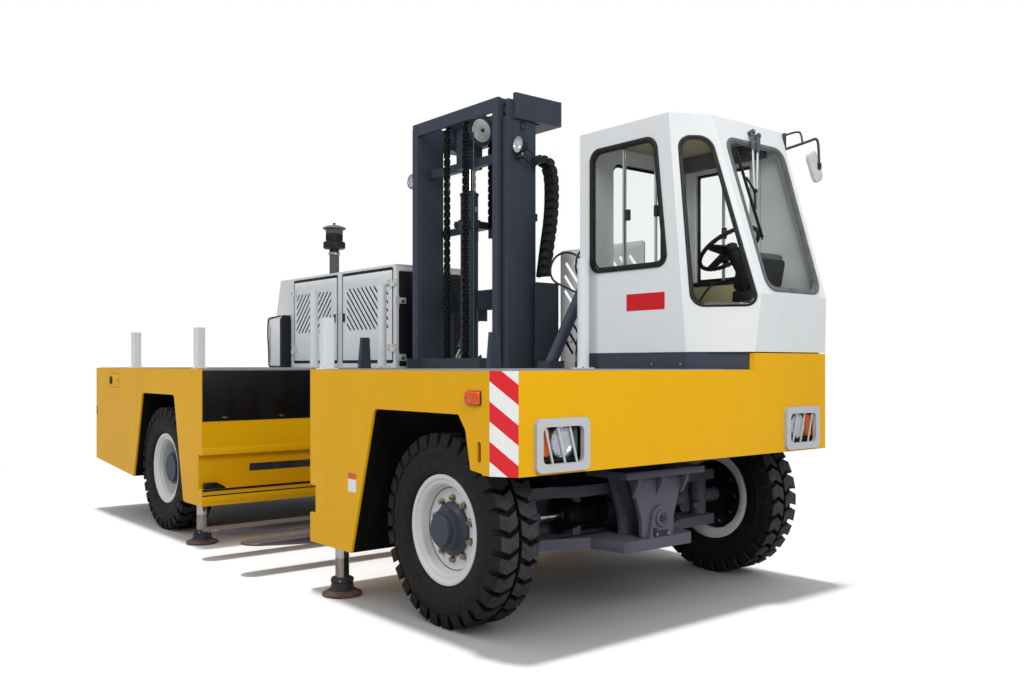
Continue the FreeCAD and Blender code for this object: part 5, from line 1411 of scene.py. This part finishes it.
dash.tube([(2.835, 0.8, 1.96), (2.79, 0.76, 1.96), (2.74, 0.73, 1.9), (2.7, 0.7, 1.82)], 0.007, BLACK_ABS)
dash.bar((2.84, 0.802, 1.962), (2.93, 0.85, 1.985), 0.012, BLACK_ABS, 12)
dash.done(["console"])

# %% Steering wheel
WHEEL_CENTRE = Vector((2.76, 0.945, 2.19))
RIM = 0.215
wheel_at = lay(WHEEL_CENTRE, (0, -1, 0), (0.819, 0, 0.574))
WHEEL_AXIS = wheel_at.col[2].to_3d()
steering = Piece("steering_wheel_assembly")
steering.tube([wheel_at @ Vector((*p, 0)) for p in arc(RIM, range(0, 360, 10))], 0.0145, BLACK_ABS,
    closed=True)
for p in arc(RIM, range(5, 360, 10)):
    spot = wheel_at @ shift(*p, -0.009)
    steering.bar((0, 0, -0.007), (0, 0, 0.001), 0.007, BLACK_ABS, 8, spot)
spoke = [(-0.205, -0.02), (-0.06, -0.045), (0.06, -0.045), (0.205, -0.02), (0.205, 0.022), (0.06, 0.03),
    (-0.06, 0.03), (-0.205, 0.022)]
steering.plate(rounded(spoke, 0.012, 3), wheel_at @ shift(z=-0.018), 0.02, BLACK_ABS, 0.005)
steering.plate(rounded([(-0.03, -0.205), (0.03, -0.205), (0.042, -0.03), (-0.042, -0.03)], 0.01, 3),
    wheel_at @ shift(z=-0.018), 0.018, BLACK_ABS, 0.005)
steering.turned([(-0.035, 0), (-0.035, 0.05), (0, 0.06), (0.01, 0.052), (0.014, 0.03), (0.015, 0)],
    WHEEL_CENTRE, WHEEL_AXIS, BLACK_ABS, 40)
knob = wheel_at @ Vector((-0.15, -0.15, 0.01))
steering.turned([(-0.01, 0), (-0.01, 0.012), (0.01, 0.01), (0.016, 0.024), (0.032, 0.028), (0.045, 0.022),
    (0.05, 0)], knob, WHEEL_AXIS, BLACK_ABS, 28)
steering.bar(wheel_at @ Vector((0, 0, -0.03)), wheel_at @ Vector((0, 0, -0.25)), 0.034, BLACK_ABS, 24,
    tip=0.048)
steering.done(["steering_wheel"])

# %% Plinth bolts and the blank plate on the cab's side
cab_marks = Piece("cab_side_fittings")
for x in (2.61, 2.849):
    cab_marks.bolt(face_of("near", x, 0.355, 1.42), ZINC)
PLATE_RED = dull("blank_plate_red", "CE1822", "C4161F", 0.32, 60, 4, 0.05)
cab_marks.plate(oblong(2.554, 1.822, 0.33, 0.11, 0.004), NEAR_WALL, 0.0012, PLATE_RED)
cab_marks.done(slot="grey_paint")

# %% [markdown]
# ## The driver's seat
# The seat is foam under sewn black vinyl. Foam could be drawn as a rounded block, but
# a real cover swells between its seams and pulls in at the corners. So each cushion
# starts as a slightly smaller block, is remeshed evenly and blown up as cloth, and no
# point may move further than a cap. The underside stays flat on its pan. Last come the
# sewn channels and the piping, laid on the crowned surface.

# %% Cushions blown up as cloth
from mathutils.bvhtree import BVHTree

VINYL = dull("sewn_vinyl", "34383F", "26292E", 0.48, 90, 4, 0.35)
FOAM_VOXEL = 0.006
FOAM_PRESSURE = 4
FOAM_FRAMES = 20


def settled(made):
    """Replaces an object's mesh by what its modifiers make of it."""
    seen = made.evaluated_get(bpy.context.evaluated_depsgraph_get())
    mesh = bpy.data.meshes.new_from_object(seen)
    made.modifiers.clear()
    made.data = mesh


def cushion(name, low, high, edge, cap, channels):
    """A padded block; channels are the heights across it where it is sewn down."""
    draft = bmesh.new()
    low, high = Vector(low), Vector(high)
    bmesh.ops.create_cube(draft, size=1, matrix=Matrix.LocRotScale((low + high) / 2, None, high - low))
    bevel(draft, draft.edges[:], edge, 4)
    mesh = bpy.data.meshes.new(name)
    draft.to_mesh(mesh)
    draft.free()
    made = bpy.data.objects.new(name, mesh)
    scene.collection.objects.link(made)
    remesh = made.modifiers.new("remesh", "REMESH")
    remesh.mode, remesh.voxel_size = "VOXEL", FOAM_VOXEL
    settled(made)
    before = [v.co.copy() for v in made.data.vertices]
    cloth = made.modifiers.new("cover", "CLOTH")
    cloth.settings.use_pressure = True
    cloth.settings.uniform_pressure_force = FOAM_PRESSURE
    cloth.settings.effector_weights.gravity = 0
    cloth.point_cache.frame_start, cloth.point_cache.frame_end = 1, FOAM_FRAMES
    for number in range(1, FOAM_FRAMES + 1):
        scene.frame_set(number)
    settled(made)
    for old, vertex in zip(before, made.data.vertices):
        move = vertex.co - old
        vertex.co = old + move * min(1, cap / max(move.length, 1e-6))
    scene.frame_set(1)
    smooth = made.modifiers.new("smooth", "SUBSURF")
    smooth.levels = smooth.render_levels = 1
    settled(made)
    thin = min(range(3), key=lambda axis: (high - low)[axis])
    across = 1 if thin == 2 else 2
    for vertex in made.data.vertices:
        if thin == 2:
            vertex.co.z = max(vertex.co.z, low.z)
        if vertex.co[thin] > (low[thin] + high[thin]) / 2:
            along = 0 if thin == 2 else 2
            for spot in channels:
                near = max(0, 1 - abs(vertex.co[along] - spot) / 0.012)
                vertex.co[thin] -= 0.006 * near * near
    made.data.materials.clear()
    made.data.materials.append(VINYL)
    made.data.shade_smooth()
    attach(made, "chassis")
    print(name, len(made.data.vertices), "points")
    return made, BVHTree.FromPolygons([v.co for v in made.data.vertices],
        [tuple(p.vertices) for p in made.data.polygons])


seat_pad, pad_tree = cushion("seat_cushion", (2.02, 0.722, 1.712), (2.474, 1.178, 1.8), 0.03, 0.014,
    (2.13, 2.245, 2.36))
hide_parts("driver_seat")
seat_back, back_tree = cushion("seat_backrest", (2, 0.722, 1.812), (2.082, 1.178, 2.076), 0.03, 0.012,
    (1.9, 1.99))

# %% Piping, pan and suspension
under = Piece("seat_frame")


def piping(tree, outline, to_point, ray):
    """A sewn cord laid on a cushion's surface under an outline."""
    hits = [tree.ray_cast(Vector(to_point(u, v)), Vector(ray))[0] for u, v in walked(outline, 0.02)]
    under.tube([tuple(hit) for hit in hits if hit], 0.004, SEAL, closed=True, smooth=False)


piping(pad_tree, oblong(2.247, 0.95, 0.4, 0.4, 0.05), lambda u, v: (u, v, 2), (0, 0, -1))
piping(back_tree, oblong(0.95, 1.944, 0.4, 0.21, 0.04), lambda u, v: (2.3, u, v), (-1, 0, 0))
under.block((2.025, 0.73, 1.69), (2.47, 1.17, 1.716), BLACK_ABS, 0.008)
under.block((1.985, 0.76, 1.76), (2.003, 1.14, 2.05), BLACK_ABS, 0.006)
for k in range(5):
    under.block((2.09 + 0.004 * (k % 2), 0.775 + 0.004 * (k % 2), 1.565 + 0.025 * k),
        (2.42 - 0.004 * (k % 2), 1.125 - 0.004 * (k % 2), 1.59 + 0.025 * k), SEAL, 0.008)
under.block((2.07, 0.755, 1.546), (2.44, 1.145, 1.566), BLACK_ABS, 0.004)
under.bar((2.475, 0.8, 1.7), (2.51, 0.8, 1.69), 0.007, BLACK_ABS, 12)
under.done(slot="seat")

# %% [markdown]
# ## Engine hood doors
# The hood's doors are thin sheet with a fold all round, and slanted slots let the engine
# breathe. The slots are real holes: each centre line is cut off at the field's edges and
# given round ends, and the sheet is filled round them. Both doors hang on butterfly
# hinges with brass screws, and a black channel seals each opening.

# %% Slanted slots
def slot_field(low, high, step, width, rising=True, lean=1):
    """Round-ended slots that cross a rectangle, step apart along it."""
    made = []
    tall = high[1] - low[1]
    way = 1 if rising else -1
    start = low[0] - tall * lean if rising else low[0]
    while start < high[0] + (0 if rising else tall * lean):
        foot = Vector((start, low[1]))
        along = Vector((way * lean, 1)).normalized()
        spots = []
        for k in range(121):
            spot = foot + along * (k / 120 * tall / along.y)
            if low[0] <= spot.x <= high[0]:
                spots.append(spot)
        if len(spots) > 4:
            middle, length = (spots[0] + spots[-1]) / 2, (spots[-1] - spots[0]).length
            turn = Matrix.Rotation(math.atan2(along.y, along.x), 2)
            made.append([tuple(middle + turn @ Vector(p)) for p in oblong(0, 0, length, width, width * 0.49,
                2)])
        start += step
    return made


HOOD_NEAR = 0.5
HOOD_SIDE = face_of("near", 0, HOOD_NEAR, 0)
HINGE_HEIGHTS = (1.575, 2.17)
SLOTS = (1.748, 2.158)


def hinge_half(piece, hinge_x, away, lift, thick, low, high):
    """The wing, two screws and knuckle of one half of each of a door's hinges."""
    for z in HINGE_HEIGHTS:
        wing = HOOD_SIDE @ shift(hinge_x + away * 0.044, z, lift)
        piece.plate(oblong(0, 0, 0.062, 0.064, 0.008), wing, thick, SILVER_ABS, 0.001)
        for v in (-0.02, 0.02):
            piece.bar((away * 0.014, v, thick), (away * 0.014, v, thick + 0.0025), 0.006, BRASS, 12, wing)
        piece.bar((hinge_x, 0.488, z + low), (hinge_x, 0.488, z + high), 0.0105, SILVER_ABS, 20)


def hood_door(where, left, right, field, rising, hinge_x, latch_x, proud):
    """A slotted door leaf with folded edges, its half of two hinges and its latch."""
    door = Piece(f"hood_door_{where}_leaf", f"hood_door_{where}")
    middle = (left + right) / 2
    leaf = oblong(middle, 1.8725, right - left, 0.823, 0.012, 3)
    holes = slot_field((field[0], SLOTS[0]), (field[1], SLOTS[1]), 0.076, 0.02, rising)
    door.plate(leaf, HOOD_SIDE @ shift(z=0.001), 0.003, PALE, 0.001, holes)
    door.ring(leaf, HOOD_SIDE @ shift(z=-0.021), 0.003, 0.022, PALE)
    hinge_half(door, hinge_x, 1 if middle > hinge_x else -1, 0.004, 0.005, -0.002, 0.03)
    door.plate(oblong(latch_x, 1.88, 0.034, 0.085, 0.006), HOOD_SIDE @ shift(z=0.004), proud, BLACK_ABS,
        0.002)
    door.done([f"hood_door_{where}"], "grey_paint")


hood_door("rear", -2.618, -1.709, (-2.575, -1.822), True, -2.624, -1.745, 0.006)
hood_door("front", -1.589, -0.691, (-1.513, -0.757), False, -0.685, -1.56, 0.008)

# %% Seals, fixed hinge halves, the open end and the far side
hood = Piece("hood_fittings")
for left, right, hinge_x in ((-2.624, -1.703, -2.624), (-1.595, -0.685, -0.685)):
    middle, wide = (left + right) / 2, right - left
    hood.ring(oblong(middle, 1.8725, wide + 0.018, 0.881, 0.022, 4), HOOD_SIDE, 0.01, 0.003, SEAL, 0.001)
    for z in (1.445, 2.3):
        hood.plate(oblong(middle, z, wide - 0.01, 0.022), HOOD_SIDE, 0.0025, SEAL, 0.001)
    hinge_half(hood, hinge_x, -1 if middle > hinge_x else 1, 0, 0.006, -0.04, -0.003)
OPEN_END = face_of("front", -0.632, 0, 0)
hood.plate(oblong(0.925, 1.838, 0.79, 0.87, 0.02), OPEN_END, 0.002, BLACK_ABS)
hood.ring(oblong(0.925, 1.838, 0.84, 0.92, 0.03), OPEN_END, 0.024, 0.006, PALE, 0.002)
for k in range(22):
    hood.block((0.6, 1.43 + 0.038 * k, 0.001), (1.29, 1.436 + 0.038 * k, 0.016), BLACK_ABS, 0.002, OPEN_END)
for low, high in ((1.944, 2.05), (1.42, 1.535)):
    hood.block((0.505, low + 0.03, 0), (0.6, high - 0.02, 0.02), SILVER_ABS, 0.003, OPEN_END)
    hood.block((0.505, low, 0), (0.53, high, 0.014), SILVER_ABS, 0.003, OPEN_END)
    hood.bar((0.56, (low + high) / 2, 0.01), (0.56, (low + high) / 2, 0.034), 0.014, ZINC, 12, OPEN_END)
FAR_SIDE = face_of("far", 0, 1.35, 0)
for middle, rising in ((2.163, False), (1.14, True)):
    hood.ring(oblong(middle, 1.872, 0.93, 0.85, 0.03, 4), FAR_SIDE, 0.012, 0.002, SEAL)
    # these slots are thin black plates, painted shade for the dark inside of the hood
    for hole in slot_field((middle - 0.37, SLOTS[0]), (middle + 0.37, SLOTS[1]), 0.076, 0.013, rising):
        hood.plate(hole, FAR_SIDE, 0.0008, BLACK_ABS)
    for z in HINGE_HEIGHTS:
        hood.plate(oblong(middle - 0.46, z, 0.12, 0.064, 0.008), FAR_SIDE, 0.006, SILVER_ABS, 0.001)
    hood.plate(oblong(middle + 0.43, 1.88, 0.034, 0.085, 0.006), FAR_SIDE, 0.008, BLACK_ABS, 0.002)
hood.done(slot="grey_paint")

# %% [markdown]
# ## Box on the rear deck, and the air pre-cleaner
# Beside the hood stands a light box edged with a black tube, next to a black cable
# duct with a slanted top. Above the hood a pipe carries a pre-cleaner: a ribbed black
# ring, a clear dust bowl and a dome. All of that is round, so one half-outline for each
# part is spun, and the ribs are small blocks set round.

# %% Deck box
locker = Piece("deck_locker")
locker.block((-3.04, 0.398, 1.39), (-2.752, 0.489, 1.925), PALE, 0.012)
locker.block((-3.004, 0.394, 1.45), (-2.992, 0.4, 1.83), GREY_ABS, 0.001)
locker.block((-3.022, 0.39, 1.85), (-2.976, 0.4, 1.868), SILVER_ABS, 0.003)
locker.tube([(-2.75, 0.398, 1.938), (-2.96, 0.396, 1.93), (-3.03, 0.396, 1.922), (-3.045, 0.396, 1.89),
    (-3.051, 0.396, 1.8), (-3.05, 0.396, 1.7), (-3.03, 0.396, 1.6), (-3.026, 0.396, 1.5),
    (-3.026, 0.396, 1.42), (-3.015, 0.396, 1.402), (-2.98, 0.396, 1.397), (-2.75, 0.396, 1.397)], 0.0085,
    SEAL)
duct = [(-2.748, 1.387), (-2.692, 1.387), (-2.692, 1.948), (-2.748, 1.905)]
locker.plate(duct, face_of("near", 0, 0.489, 0), 0.1, SEAL, 0.004)
locker.done(["deck_box"], "grey_paint")

# %% Pre-cleaner
PIPE_GREY = enamel("enamel_pipe_grey", "55565B", 0.45, 0.2)
cleaner = Piece("pre_cleaner_parts")
CLEANER = (-1.98, 0.62, 0)


def spun(outline, finish, sides=40):
    """A closed half-outline of (height, radius), spun round the pre-cleaner's axis."""
    cleaner.turned(outline, CLEANER, UP, finish, sides)


spun([(2.335, 0), (2.335, 0.049), (2.545, 0.049), (2.545, 0)], PIPE_GREY)
spun([(2.335, 0.049), (2.335, 0.075), (2.341, 0.075), (2.345, 0.052), (2.345, 0.049)], SEAL)
spun([(2.541, 0.05), (2.541, 0.056), (2.545, 0.058), (2.563, 0.058), (2.567, 0.056), (2.567, 0.05)], STEEL)
cleaner.bar((-1.98, 0.56, 2.554), (-1.935, 0.556, 2.554), 0.007, ZINC, 8)
spun([(2.56, 0), (2.56, 0.049), (2.598, 0.049), (2.604, 0.06), (2.604, 0)], BLACK_ABS)
spun([(2.604, 0), (2.604, 0.098), (2.61, 0.108), (2.671, 0.108), (2.677, 0.1), (2.683, 0.08), (2.756, 0.08),
    (2.758, 0)], BLACK_ABS)
for k in range(24):
    spoke = Matrix.Translation(CLEANER) @ turn_about(15 * k)
    cleaner.block((0.1, -0.006, 2.612), (0.1115, 0.006, 2.669), BLACK_ABS, 0.002, spoke)
    cleaner.block((0.078, -0.004, 2.69), (0.0865, 0.004, 2.75), BLACK_ABS, 0.002, spoke)
spun([(2.757, 0.082), (2.757, 0.087), (2.804, 0.089), (2.807, 0.087), (2.807, 0.082)], SMOKED)
spun([(2.757, 0), (2.757, 0.04), (2.807, 0.034), (2.807, 0)], GREY_ABS)
spun([(2.806, 0), (2.806, 0.112), (2.81, 0.118), (2.816, 0.118), (2.824, 0.11), (2.838, 0.07),
    (2.845, 0.045), (2.849, 0)], GREY_ABS)
spun([(2.846, 0), (2.846, 0.014), (2.856, 0.01), (2.862, 0.013), (2.87, 0.012), (2.875, 0)], BLACK_ABS)
cleaner.done(["pre_cleaner"], "iron")

# %% [markdown]
# ## Guard sheet and valve gear
# Between the mast and the cab a pale sheet with slanted slots guards the oil pipes.
# Light comes through the slots, so they are holes here too. At its foot sits the valve
# block with its brass unions and short pipes.

# %% Guard sheet
guard = Piece("guard_sheet_slotted")
sheet_face = face_of("near", 0, 1.027, 0)
sheet_outline = [(1.012, 1.387), (1.925, 1.387), (1.925, 2.338), (1.012, 2.338)]
upper = slot_field((1.06, 1.9), (1.88, 2.24), 0.1, 0.026, False, 0.84)
lower = slot_field((1.06, 1.5), (1.88, 1.83), 0.1, 0.026, False, 0.84)
guard.plate(rounded(sheet_outline, 0.02, 3), sheet_face, 0.004, PALE, 0.001, holes=upper + lower)
guard.ring(rounded(sheet_outline, 0.02, 3), sheet_face @ shift(z=-0.008), 0.004, 0.01, PALE)
guard.done(["guard_sheet"], "grey_paint")

# %% Unions and pipes on the valve block
valves = Piece("valve_fittings")
for k in range(5):
    y, z = 1.1 + 0.04 * k, 1.48 + 0.085 * (k % 3)
    valves.bar((1.235, y, z), (1.262, y, z), 0.016, BRASS, 6)
    valves.bar((1.258, y, z), (1.285, y, z), 0.011, ZINC, 12)
    valves.tube([(1.28, y, z), (1.32, y, z), (1.35, y, z + 0.05), (1.352, y, z + 0.17),
        (1.33, y + 0.01, z + 0.25), (1.24, y + 0.01, z + 0.27)], 0.009, HOSE)
for k in range(6):
    x = 1.01 + 0.04 * k
    valves.block((x, 1.04, 1.56), (x + 0.026, 1.062, 1.83), DARK_STEEL, 0.003)
    x += 0.013
    valves.bar((x, 1.045, 1.6), (x, 1.02, 1.6), 0.009, BRASS, 6)
    valves.bar((x, 1.045, 1.7), (x, 1.025, 1.7), 0.007, ZINC, 12)
    valves.bar((x, 1.05, 1.83), (x, 1.05, 1.895), 0.005, ZINC, 8)
for x, y in ((1.3, 0.93), (1.345, 0.94), (1.395, 0.935)):
    for low, high, radius, finish, sides in ((1.387, 1.44, 0.015, BRASS, 6), (1.44, 1.5, 0.011, STEEL, 16),
            (1.5, 1.515, 0.015, BRASS, 6)):
        valves.bar((x, y, low), (x, y, high), radius, finish, sides)
    valves.tube([(x, y, 1.51), (x, y, 1.58), (x - 0.03, y + 0.05, 1.64), (x - 0.09, 1.045, 1.65)], 0.009,
        HOSE)
valves.done(slot="iron")

# %% [markdown]
# ## Steer axle
# The axle rocks on a pin in a welded bracket, whose front plate tapers down from a
# thick flange and is stiffened by ribs. The axle's lower plate reaches forward under it
# with a round-topped lug, and a keeper with two bolts stops the pin from turning. These
# are flame-cut plates, so each is an outline with a thickness.

# %% Bracket, lug and keeper
axle = Piece("axle_bracket")
FRONT = (1, 0, 0)
cross = face_of("front", 0, 0, 0)
axle.block((2.7, -0.32, 0.765), (3.03, 0.36, 0.806), AXLE_PAINT, 0.003)
taper = [(-0.135, 0.412), (0.135, 0.412), (0.14, 0.52), (0.225, 0.766), (-0.225, 0.766), (-0.14, 0.52)]
axle.plate(taper, cross @ shift(z=2.95), 0.026, AXLE_PAINT, 0.002)
axle.plate(taper, cross @ shift(z=2.78), 0.026, AXLE_PAINT)
for y in (-0.196, 0.004, 0.218):
    rib = [(2.975, 0.766), (2.975, 0.65), (3.024, 0.735), (3.024, 0.766)]
    axle.plate(rib, lay((0, y, 0), (1, 0, 0), UP), 0.022, AXLE_PAINT, 0.002)
PIN_Z = 0.52
arch = [(-0.098, 0.408), (0.098, 0.408)] + arc(0.073, range(0, 181, 15), 0, PIN_Z)
axle.plate(arch, cross @ shift(z=2.976), 0.024, AXLE_PAINT, 0.002)
axle.turned([(2.94, 0), (2.94, 0.05), (3.012, 0.05), (3.016, 0.046), (3.016, 0.036), (3.008, 0.034),
    (3.008, 0)], (0, 0, PIN_Z), FRONT, AXLE_PAINT, 32)
axle.turned([(3.006, 0), (3.006, 0.02), (3.018, 0.018), (3.018, 0.01), (3.012, 0)], (0, 0, PIN_Z), FRONT,
    DARK_STEEL, 24)
axle.plate([(-0.066, 0.418), (0.058, 0.418), (0.058, 0.446), (-0.042, 0.446), (-0.048, 0.468),
    (-0.066, 0.468)], cross @ shift(z=3), 0.01, DARK_STEEL, 0.002)
for y in (-0.052, 0.044):
    axle.bolt(cross @ shift(y, 0.432, 3.01), ZINC, 0.017, 0.008)
tongue = [(2.64, -0.6), (2.76, -0.34), (2.98, -0.29), (3.005, -0.262), (3.005, 0.262), (2.98, 0.29),
    (2.76, 0.34), (2.64, 0.6)]
axle.plate(tongue, face_of("top", 0, 0, 0.345), 0.065, AXLE_PAINT, 0.003)
upper_tongue = [(2.64, -0.56), (2.715, -0.42), (2.715, 0.42), (2.64, 0.56)]
axle.plate(upper_tongue, face_of("top", 0, 0, 0.645), 0.065, AXLE_PAINT, 0.003)
axle.block((2.79, -0.124, 0.41), (2.815, 0.124, 0.766), AXLE_PAINT, 0.003)
axle.done(slot="dark_paint")

# %% Steering cylinder
STEER = (2.583, 0, 0.53)
steer = Piece("steer_cylinder_parts")
for side in (-1, 1):
    steer.turned([(0.1, 0.069), (0.1, 0.086), (0.33, 0.086), (0.336, 0.094), (0.372, 0.094), (0.376, 0.088),
        (0.392, 0.088), (0.396, 0.094), (0.424, 0.092), (0.432, 0.08), (0.432, 0.031), (0.42, 0.031),
        (0.1, 0.069)], STEER, (0, side, 0), BLACK_PAINT, 40)
    steer.turned([(0.432, 0.0305), (0.432, 0.048), (0.44, 0.044), (0.44, 0.0305)], STEER, (0, side, 0),
        SEAL, 32)
steer.done(slot="dark_paint")
ends = Piece("steer_rod_ends", "steering_rod")
for side in (-1, 1):
    ends.turned([(0.6, 0), (0.6, 0.036), (0.612, 0.04), (0.66, 0.04), (0.69, 0.03), (0.69, 0)], STEER,
        (0, side, 0), AXLE_PAINT, 24)
    ends.bar((2.583, side * 0.3, 0.53), (2.583, side * 0.6, 0.53), 0.03, CHROME, 32)
    ends.bar((2.583, side * 0.65, 0.505), (2.583, side * 0.65, 0.585), 0.021, DARK_STEEL, 24)
    ends.bolt(face_of("top", 2.583, side * 0.65, 0.585), ZINC, 0.03, 0.014)
ends.done(slot="dark_paint")

# %% [markdown]
# ## Stabiliser jacks
# Two hydraulic legs push down beside the well while the mast lifts. Each has a hard
# chrome rod, oily near its foot, a collar clamped by small bolts and a dished pad in
# oxide primer. A leg is turned work from end to end, so each part is one profile.

# %% Jacks
for where, x in (("jack_leg_rear", -0.68), ("jack_leg_front", 1.543)):
    leg = Piece(f"{where}_turned", where.replace("_leg", ""))
    spot = (x, -1.285, 0)
    leg.turned([(0, 0), (0, 0.117), (0.007, 0.122), (0.018, 0.12), (0.026, 0.104), (0.034, 0.078),
        (0.036, 0)], spot, UP, JACK_RED, 48)
    leg.turned([(0.03, 0), (0.03, 0.078), (0.038, 0.08), (0.044, 0.072), (0.08, 0.066), (0.086, 0.07),
        (0.104, 0.068), (0.11, 0.06), (0.112, 0.044), (0.112, 0)], spot, UP, DARK_STEEL, 40)
    leg.turned([(0.1, 0), (0.1, 0.0426), (0.23, 0.0426), (0.23, 0)], spot, UP, OILED_CHROME, 40)
    leg.turned([(0.229, 0), (0.229, 0.0424), (0.52, 0.0424), (0.52, 0)], spot, UP, CHROME, 40)
    for k in range(6):
        around = Matrix.Translation(spot) @ turn_about(60 * k + 20)
        leg.bolt(around @ lay((0.068, 0, 0.095), (0, 1, 0), UP), ZINC, 0.013, 0.006)
    leg.done([where], "chrome")

# %% [markdown]
# ## Forks
# A fork is one forged bar: thick at the heel, tapered to a rounded tip. The blade is
# drawn from above with its round end and given its thickness, and then its underside is
# lifted towards the tip.

# %% Forks
forks = Piece("forged_forks", "fork_carriage")
for middle in (MAST_X - 0.3375, MAST_X + 0.3375):
    half = 0.09
    outline = [(half, 0.318), (-half, 0.318), (-half, -1)]
    outline += arc(half, range(180, 361, 15), 0, -1.45) + [(half, -1)]
    draft = drawn(outline, 0.16)
    thicken(draft, 0.06)
    for vertex in draft.verts:
        if vertex.co.z < 0.17 and vertex.co.y < -0.94:
            vertex.co.z += 0.044 * min(1, (-0.94 - vertex.co.y) / 0.6)
    bmesh.ops.recalc_face_normals(draft, faces=draft.faces)
    rims = [e for e in draft.edges if e.calc_face_angle(0) > 1]
    bevel(draft, rims, 0.006)
    forks.join(draft, FORK_STEEL, shift(middle))
    forks.block((middle - half, 0.27, 0.162), (middle + half, 0.329, 1.19), FORK_STEEL, 0.008)
    forks.block((middle - half, 0.2, 0.165), (middle + half, 0.3, 0.235), FORK_STEEL, 0.02)
forks.done(["forks"], "steel")

# %% [markdown]
# ## Hydraulic hoses
# Two rubber hoses leave the cab's rear wall, hang in a loop and return to it. Both
# ends are fixed fittings, so each is a curve between them, and its true length is printed.
# A round bevel on an open spline gives the rubber its section.

# %% Two cords
def hose(node, points, length):
    """A free hose of 16 mm rubber between two fixed fittings."""
    curve = curve_along(points, node, 0.008, detail=12)
    curve.materials.append(HOSE)
    made = bpy.data.objects.new(f"cab_{node}", curve)
    scene.collection.objects.link(made)
    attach(made, "chassis")
    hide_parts(node)
    print(made.name, length, "m")


hose("hose_lower", [(1.927, 0.53, 2.12), (1.85, 0.53, 2.128), (1.76, 0.529, 2.19), (1.65, 0.528, 2.238),
    (1.535, 0.527, 2.234), (1.462, 0.527, 2.188), (1.43, 0.528, 2.105), (1.478, 0.53, 2.03),
    (1.58, 0.531, 1.995), (1.685, 0.531, 1.952), (1.797, 0.53, 1.904), (1.927, 0.53, 1.898)], 1.141)
hose("hose_upper", [(1.927, 0.565, 2.318), (1.85, 0.565, 2.316), (1.77, 0.566, 2.272), (1.7, 0.567, 2.222),
    (1.668, 0.568, 2.145), (1.69, 0.568, 2.068), (1.757, 0.567, 2.01), (1.84, 0.565, 1.985),
    (1.927, 0.565, 1.988)], 0.67)
